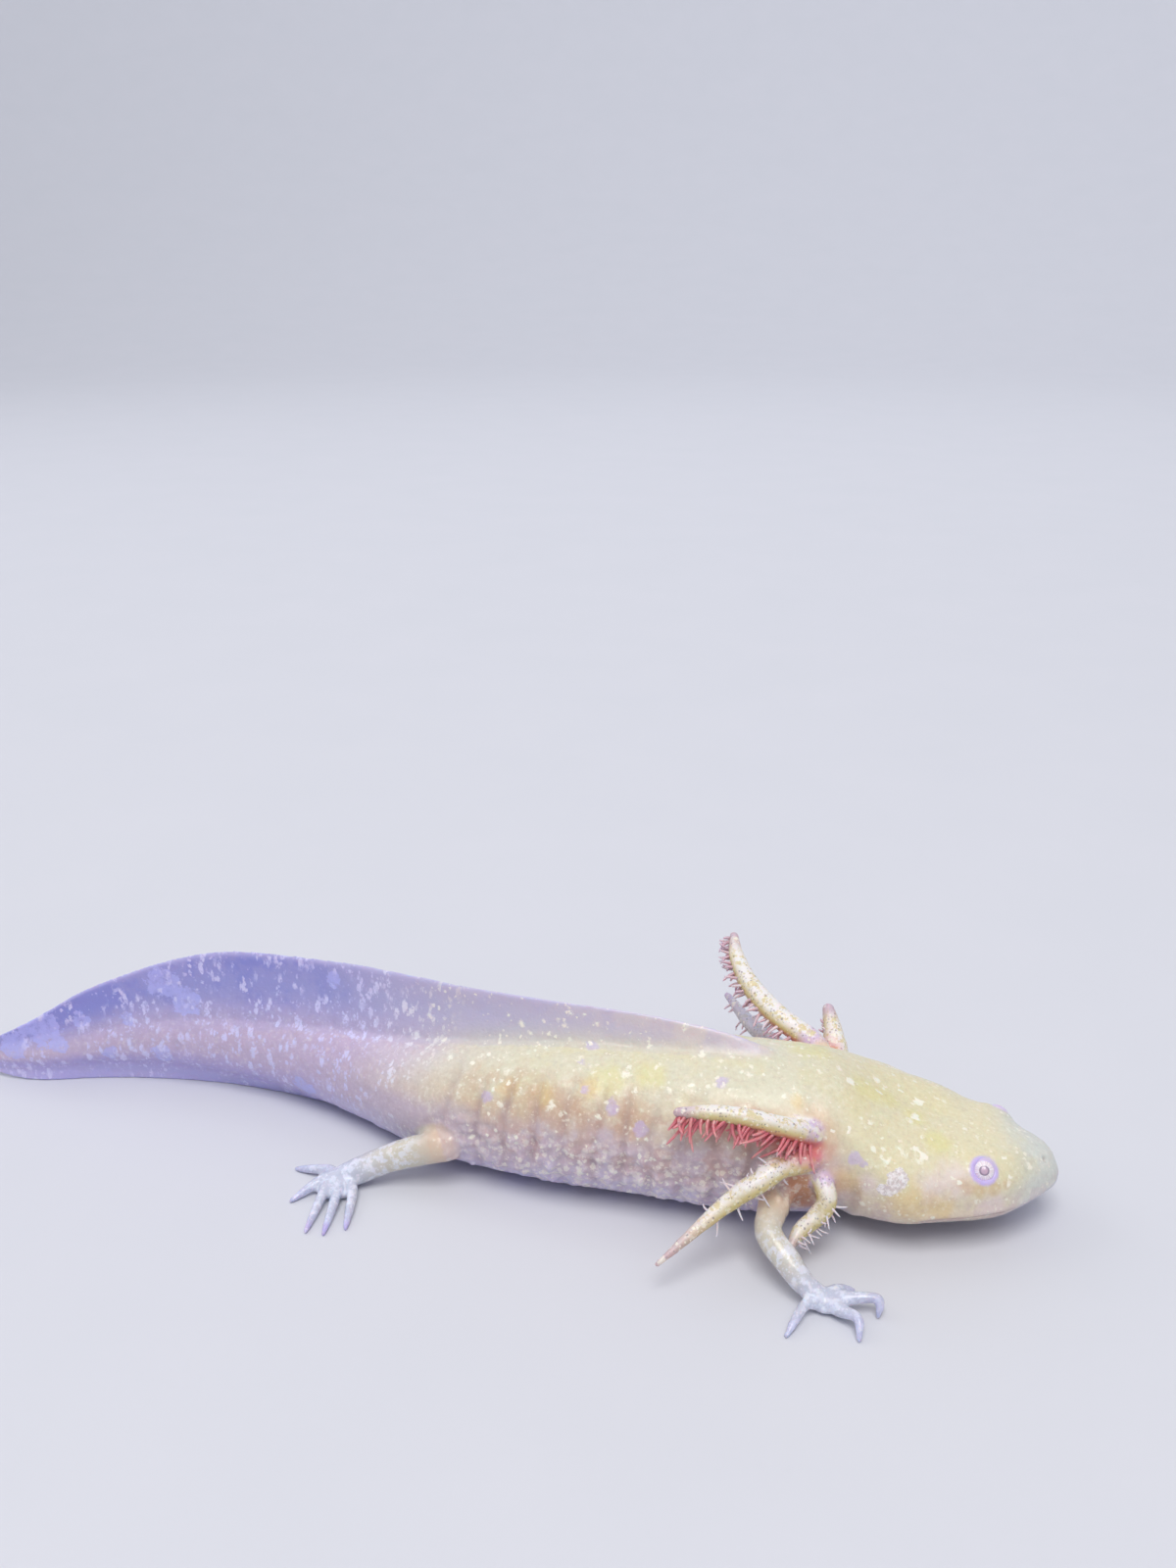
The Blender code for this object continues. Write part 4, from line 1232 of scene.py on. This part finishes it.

# %% [markdown]
# ## Patches in the skin
# Pigment cells gather in patches: yellow over back and crown, tan along the flank, pink on the
# cheek, ochre at the jaw. Even patches would look printed. So some are clouds of noise, kept to
# their part of the body by a mask, and some are spots whose places were stored on the points. The
# grooves also get painted shade, and the pebbles of the low flank get painted highlights.

# %% Soft patches and mottling
not_tail = rise(along, -0.30, -0.05)
trunk_only = rise(along, 0.44, 0.38)
lemon = times(blotches(12.0, 0.45), rise(level, 0.15, 0.70), not_tail)
middle = times(rise(level, -0.5, 0.0), rise(level, 0.85, 0.45), not_tail)
tan = times(blotches(5.0, 0.55), middle, trunk_only)
rose = times(blotches(4.2, 0.50), rise(level, 0.55, -0.2), not_tail)
colour = over(colour, lemon, 0.26, (224, 214, 158))
colour = over(colour, mask("lemon"), 0.42, (226, 220, 138))
colour = over(colour, tan, 0.52, (198, 162, 146))
colour = over(colour, rose, 0.30, (202, 171, 186))
colour = over(colour, mask("rose"), 0.58, (230, 211, 216))
colour = over(colour, mask("ochre"), 0.46, (234, 202, 126))
colour = over(colour, times(mask("tan"), rise(fine_cloud, 0.30, 0.60)), 0.42, (204, 166, 134))
colour = over(colour, mask("rust"), 0.42, (204, 164, 112))
colour = over(colour, mask("hollow"), 0.80, (208, 136, 84))
colour = over(colour, ragged("lilac", 0.30, 0.90), 0.55, (202, 184, 232))
# painted shade: the costal grooves are darkened as if shade fell in them
colour = over(colour, mask("groove"), 0.48, (174, 142, 144))
low_flank = times(rise(level, 0.35, -0.15), rise(level, -0.98, -0.7), not_tail, trunk_only)
# painted highlights: soft cream blotches between the grooves of the low flank stand in for light on its
# bumps
pebble_highlights = times(blotches(2.0, 0.42), low_flank, minus(1.0, mask("groove")))
colour = over(colour, pebble_highlights, 0.66, (240, 229, 226))

# fine mottling of the pigment cells, lighter and darker
mottle = noise(place, 0.9, 4.0, 0.65)
colour = over(colour, rise(mottle, 0.50, 0.72), 0.26, (250, 246, 236))
colour = over(colour, rise(mottle, 0.50, 0.30), 0.20, (178, 158, 150))
print("with the patches:", len(tree.nodes), "nodes")

# %% Fins and legs
# fins: greyish lilac over the trunk, milky lavender on the tail, a fine pale edge
fin = ramp(along, (222, 210, 206), (0.30, -0.20, (194, 188, 212)), (-0.20, -0.70, (142, 146, 214)))
fin = ramp(height, fin, (0.0, -0.6, (186, 182, 232)))
fin = over(fin, blotches(11.0, 0.5), 0.30, (186, 180, 218))
fin = over(fin, mask("fin_edge"), 0.5, (200, 198, 234))
colour = between(mask("fin"), colour, fin)
patches = times(ragged("patch", 0.40, 0.62), rise(crumbs, 0.20, 0.55))
colour = over(colour, patches, 0.72, (186, 188, 246))

# legs: cream and pink at the root, pale blue-grey at the hand, clear tips; pale blotches down the arm are
# painted wet reflections
down_leg = mask("limb_way")
leg = ramp(down_leg, (220, 192, 168), (0.15, 0.45, (206, 200, 184)), (0.50, 0.90, (196, 201, 220)))
# painted reflection: pale blotches down the lower leg stand in for wet highlights on the skin
leg = over(leg, times(blotches(1.5, 0.52), rise(down_leg, 0.30, 0.55)), 0.60, (232, 236, 252))
leg = over(leg, times(specks(0.55, 0.50), rise(down_leg, 0.25, 0.50)), 0.45, (240, 242, 254))
leg = over(leg, mask("toe"), 0.42, (170, 172, 224))
colour = between(mask("limb"), colour, leg)
print("with fins and legs:", len(tree.nodes), "nodes")

# %% Gill stalks: flushed at the root, white, ochre beneath, lilac at the tip, with painted shade in small pits
colour = over(colour, mask("flush"), 0.45, (234, 188, 150))
yellow = most(mask("beneath"), rise(crumbs, 0.50, 0.60, 0.75))
stalk = between(yellow, (238, 234, 232), (214, 198, 136))
up_stalk = mask("gill_way")
root = times(rise(up_stalk, 0.34, 0.20), rise(fine_cloud, 0.40, 0.55))
stalk = over(stalk, root, 0.85, (206, 178, 222))
stalk = over(stalk, rise(up_stalk, 0.80, 1.0), 0.7, (190, 160, 190))
# painted shade: the left middle stalk, on the far side, is tinted a cool blue-lilac
stalk = over(stalk, mask("cool"), 0.50, (192, 197, 236))
# painted shade: small dark specks stand for the shade in pits of the stalk's skin
pit_shade = times(specks(0.55, 0.52), rise(fine_cloud, 0.38, 0.54))
stalk = over(stalk, pit_shade, 0.62, (120, 108, 118))
colour = between(mask("gill"), colour, stalk)
colour = over(colour, mask("blood"), 0.90, (214, 104, 98))
print("with the stalks:", len(tree.nodes), "nodes")

# %% [markdown]
# ## Glints
# The white specks are cells full of tiny crystals that throw light back. They are small, sharp
# and uneven, so they come from the shared specks at several spacings, laid over one another, and
# are kept smoother than the skin round them. On the tail they stand tall and lean.

# %% White specks and tall flecks
white = most(times(specks(1.35, 0.42), rise(cloud, 0.42, 0.60)),
             times(specks(1.25, 0.62), low_flank, 0.6),
             times(specks(3.1, 0.34), rise(crumbs, 0.40, 0.52)), ragged("star", 0.40, 0.62))
dense = most(rise(fine_cloud, 0.50, 0.64, 0.6), times(mask("gill"), 0.8), mask("glint"))
white = most(white, times(specks(0.8, 0.45), dense))
white = times(white, minus(1.0, times(mask("limb"), 0.7)))
slant = {"Vector": place, "Rotation": (0.0, math.radians(-24), 0.0), "Scale": (1.0, 1.0, 0.42)}
flecks = times(specks(1.25, 0.70, node("ShaderNodeMapping", slant)), rise(along, -0.18, -0.38),
               rise(cloud, 0.40, 0.54), rise(crumbs, 0.36, 0.48), rise(fine_cloud, 0.36, 0.50))
bright = ramp(along, (250, 246, 230), (-0.20, -0.50, (216, 213, 250)))
colour = over(colour, most(white, flecks), 0.92, bright)
print("with the specks:", len(tree.nodes), "nodes")

# %% The scar, the painted shade of the creases, the eye rims, and the wet surface
scar = ragged("scar", 0.36, 0.52)
facets = ramp(noise(place, 0.8, 4.0, 0.75), (206, 194, 200), (0.40, 0.60, (250, 246, 250)))
colour = over(colour, scar, 0.80, facets)
# painted shade: the mouth line and the nostrils are darkened as if shade fell in them
colour = over(colour, mask("crease"), 0.55, (150, 112, 126))
colour = between(mask("eye_rim"), colour, (206, 188, 236))
connect("Base Color", colour)
connect("Roughness", minus(minus(0.46, times(white, 0.16)), times(fine_cloud, 0.12)))
bump(plus(effect(GRAIN, place), times(most(white, scar), 0.5)), 0.40, 0.18)
connect("Coat Weight", plus(0.18, times(mask("limb"), 0.45)))
surface.inputs["Coat Roughness"].default_value = 0.10
skin.data.materials.clear()
skin.data.materials.append(skin_finish)
print("skin nodes:", len(tree.nodes))

# %% [markdown]
# ## Finish of the gill feathers
# The threads are blood red at the root and paler towards the tip. They are thin and wet, so light
# goes right into them.

# %% Build the feather material
feather_finish, tree, surface = material("gill_feathers", 0.34, (196, 110, 120))
flesh(0.45, 1.0)
place = object_place()
outward = mask("along")
red = between(outward, (196, 84, 100), (226, 148, 154))
lilac = between(outward, (186, 142, 150), (214, 190, 210))
colour = ramp(mask("tone"), red, (0.10, 0.40, lilac), (0.50, 0.85, (232, 218, 226)))
colour = between(rise(noise(place, 1.4), 0.45, 0.75, 0.35), colour, (246, 214, 196))
connect("Base Color", colour)
bump(effect(GRAIN, place), 0.3, 0.08)
surface.inputs["Coat Weight"].default_value = 0.2
for made in feathers:
    made.data.materials.append(feather_finish)
print("feather nodes:", len(tree.nodes))

# %% [markdown]
# ## Finish of the eyes
# From the centre: a pink-grey pupil with a dark rim of painted shade, a bright silver-white iris,
# then a lilac band. The clear front of the eye is a coat over all of it, so its highlight stays
# sharp while the iris below keeps its texture.

# %% Build the eye material
eye_finish, tree, surface = material("axolotl_eye", 0.35, (226, 210, 220))
flesh(0.15, 0.6)
streaks = noise(object_place(), 0.5, 3.0, 0.7)
away = plus(mask("from_axis"), times(minus(streaks, 0.5), 0.18))
around = node("ShaderNodeCombineXYZ", {0: times(mask("round_axis"), 34.0)})
iris = ramp(scaled_noise(around, 1.0, 3.0), (228, 214, 222), (0.38, 0.64, (252, 244, 250)))
# painted shade: the dark ring round the pupil, 0.45 to 0.8 mm off the axis, stands in for the shade of a
# sunken pupil
colour = ramp(away, (204, 176, 196), (0.45, 0.80, (146, 130, 150)), (0.80, 0.94, iris),
              (1.55, 1.80, (214, 194, 232)), (1.95, 2.35, (226, 213, 221)))
connect("Base Color", colour)
surface.inputs["Coat Weight"].default_value = 1.0
surface.inputs["Coat Roughness"].default_value = 0.03
bump(streaks, 0.4, 0.06)
for made in eyeballs.values():
    made.data.materials.append(eye_finish)
print("eye nodes:", len(tree.nodes))

# %% [markdown]
# ## Floor, light and camera
# A museum piece is shown on a plain pale ground under soft light. The ground is a wide bowl whose
# rim curves up into the backdrop, so no edge shows. One broad lamp above models the form, a
# second fills the shadows, a third brightens the backdrop, and the pale world lifts the rest.
# The camera looks down over the head along the body. This part is in metres.

# %% Floor
FLAT, BEND, WALL_TOP = 1.6, 1.4, 2.0
CORNERS = 96
floor_finish, tree, surface = material("pale_floor", 0.7, (226, 226, 230))
connect("Base Color", between(noise(object_place(), 40.0, 4.0), (211, 213, 220), (215, 216, 223)))
bow = np.radians(np.linspace(0, 90, 19))
out = np.append(FLAT + BEND * np.sin(bow), FLAT + BEND)
up = np.append(BEND - BEND * np.cos(bow), WALL_TOP)
bowl = [(r * math.cos(a), r * math.sin(a), z) for r, z in zip(out, up) for a in circle(CORNERS)]
wall = [(k * CORNERS + i, (k + 1) * CORNERS + i, (k + 1) * CORNERS + (i + 1) % CORNERS,
         k * CORNERS + (i + 1) % CORNERS) for k in range(len(out) - 1) for i in range(CORNERS)]
floor = piece("floor", mesh_from("floor", bowl, [range(CORNERS), *wall]))
floor.data.shade_smooth()
floor.data.materials.append(floor_finish)
print("floor corners:", len(bowl))

# %% Lights
middle = (cad_box[0] + cad_box[1]) / 2
LAMPS = {
    "key": dict(at=(0.15, -0.55, 1.30), to=middle, size=0.80, power=12.0, colour=(1.0, 0.98, 0.95)),
    "fill": dict(at=(-1.10, 0.20, 0.80), to=middle, size=1.0, power=3.0, colour=(0.94, 0.95, 1.0)),
    "back": dict(at=(0.0, 0.8, 1.9), to=(0.0, 3.0, 0.9), size=1.4, power=20.0, colour=(0.97, 0.98, 1.0)),
}
for name, lamp in LAMPS.items():
    data = bpy.data.lights.new(name, "AREA")
    data.size = lamp["size"]
    data.energy = lamp["power"]
    data.color = lamp["colour"]
    made = piece(name, data)
    made.location = lamp["at"]
    made.rotation_euler = (Vector(lamp["to"]) - Vector(lamp["at"])).to_track_quat("-Z", "Y").to_euler()
world = bpy.data.worlds.new("studio")
world.use_nodes = True
world.node_tree.nodes["Background"].inputs["Color"].default_value = (0.93, 0.94, 1.0, 1.0)
world.node_tree.nodes["Background"].inputs["Strength"].default_value = 0.58
bpy.context.scene.world = world
bpy.context.scene.view_settings.view_transform = "Standard"
print("lamps:", list(LAMPS))

# %% Camera
camera_data = bpy.data.cameras.new("camera")
camera_data.lens = 33.75
camera_data.sensor_width = 36
camera_data.clip_start = 0.01
camera = piece("camera", camera_data)
camera.location = (0.0615, -0.2294, 0.170)
look_along = Vector((-0.2416, 0.9018, -0.3584))
camera.rotation_euler = look_along.to_track_quat("-Z", "Y").to_euler()
bpy.context.scene.camera = camera
print("camera at", tuple(round(c, 4) for c in camera.location))

# %% [markdown]
# ## Riding the root body
# Each dressed piece rides the root body, and the solids that the skin and the eyes replace are hidden.

# %% Ride and replace
flesh_nodes = [name for name in frame["nodes"] if name not in EYES]
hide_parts(*flesh_nodes)
for name, made in eyeballs.items():
    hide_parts(name)
for made in [skin, *feathers, *eyeballs.values()]:
    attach(made, "root")
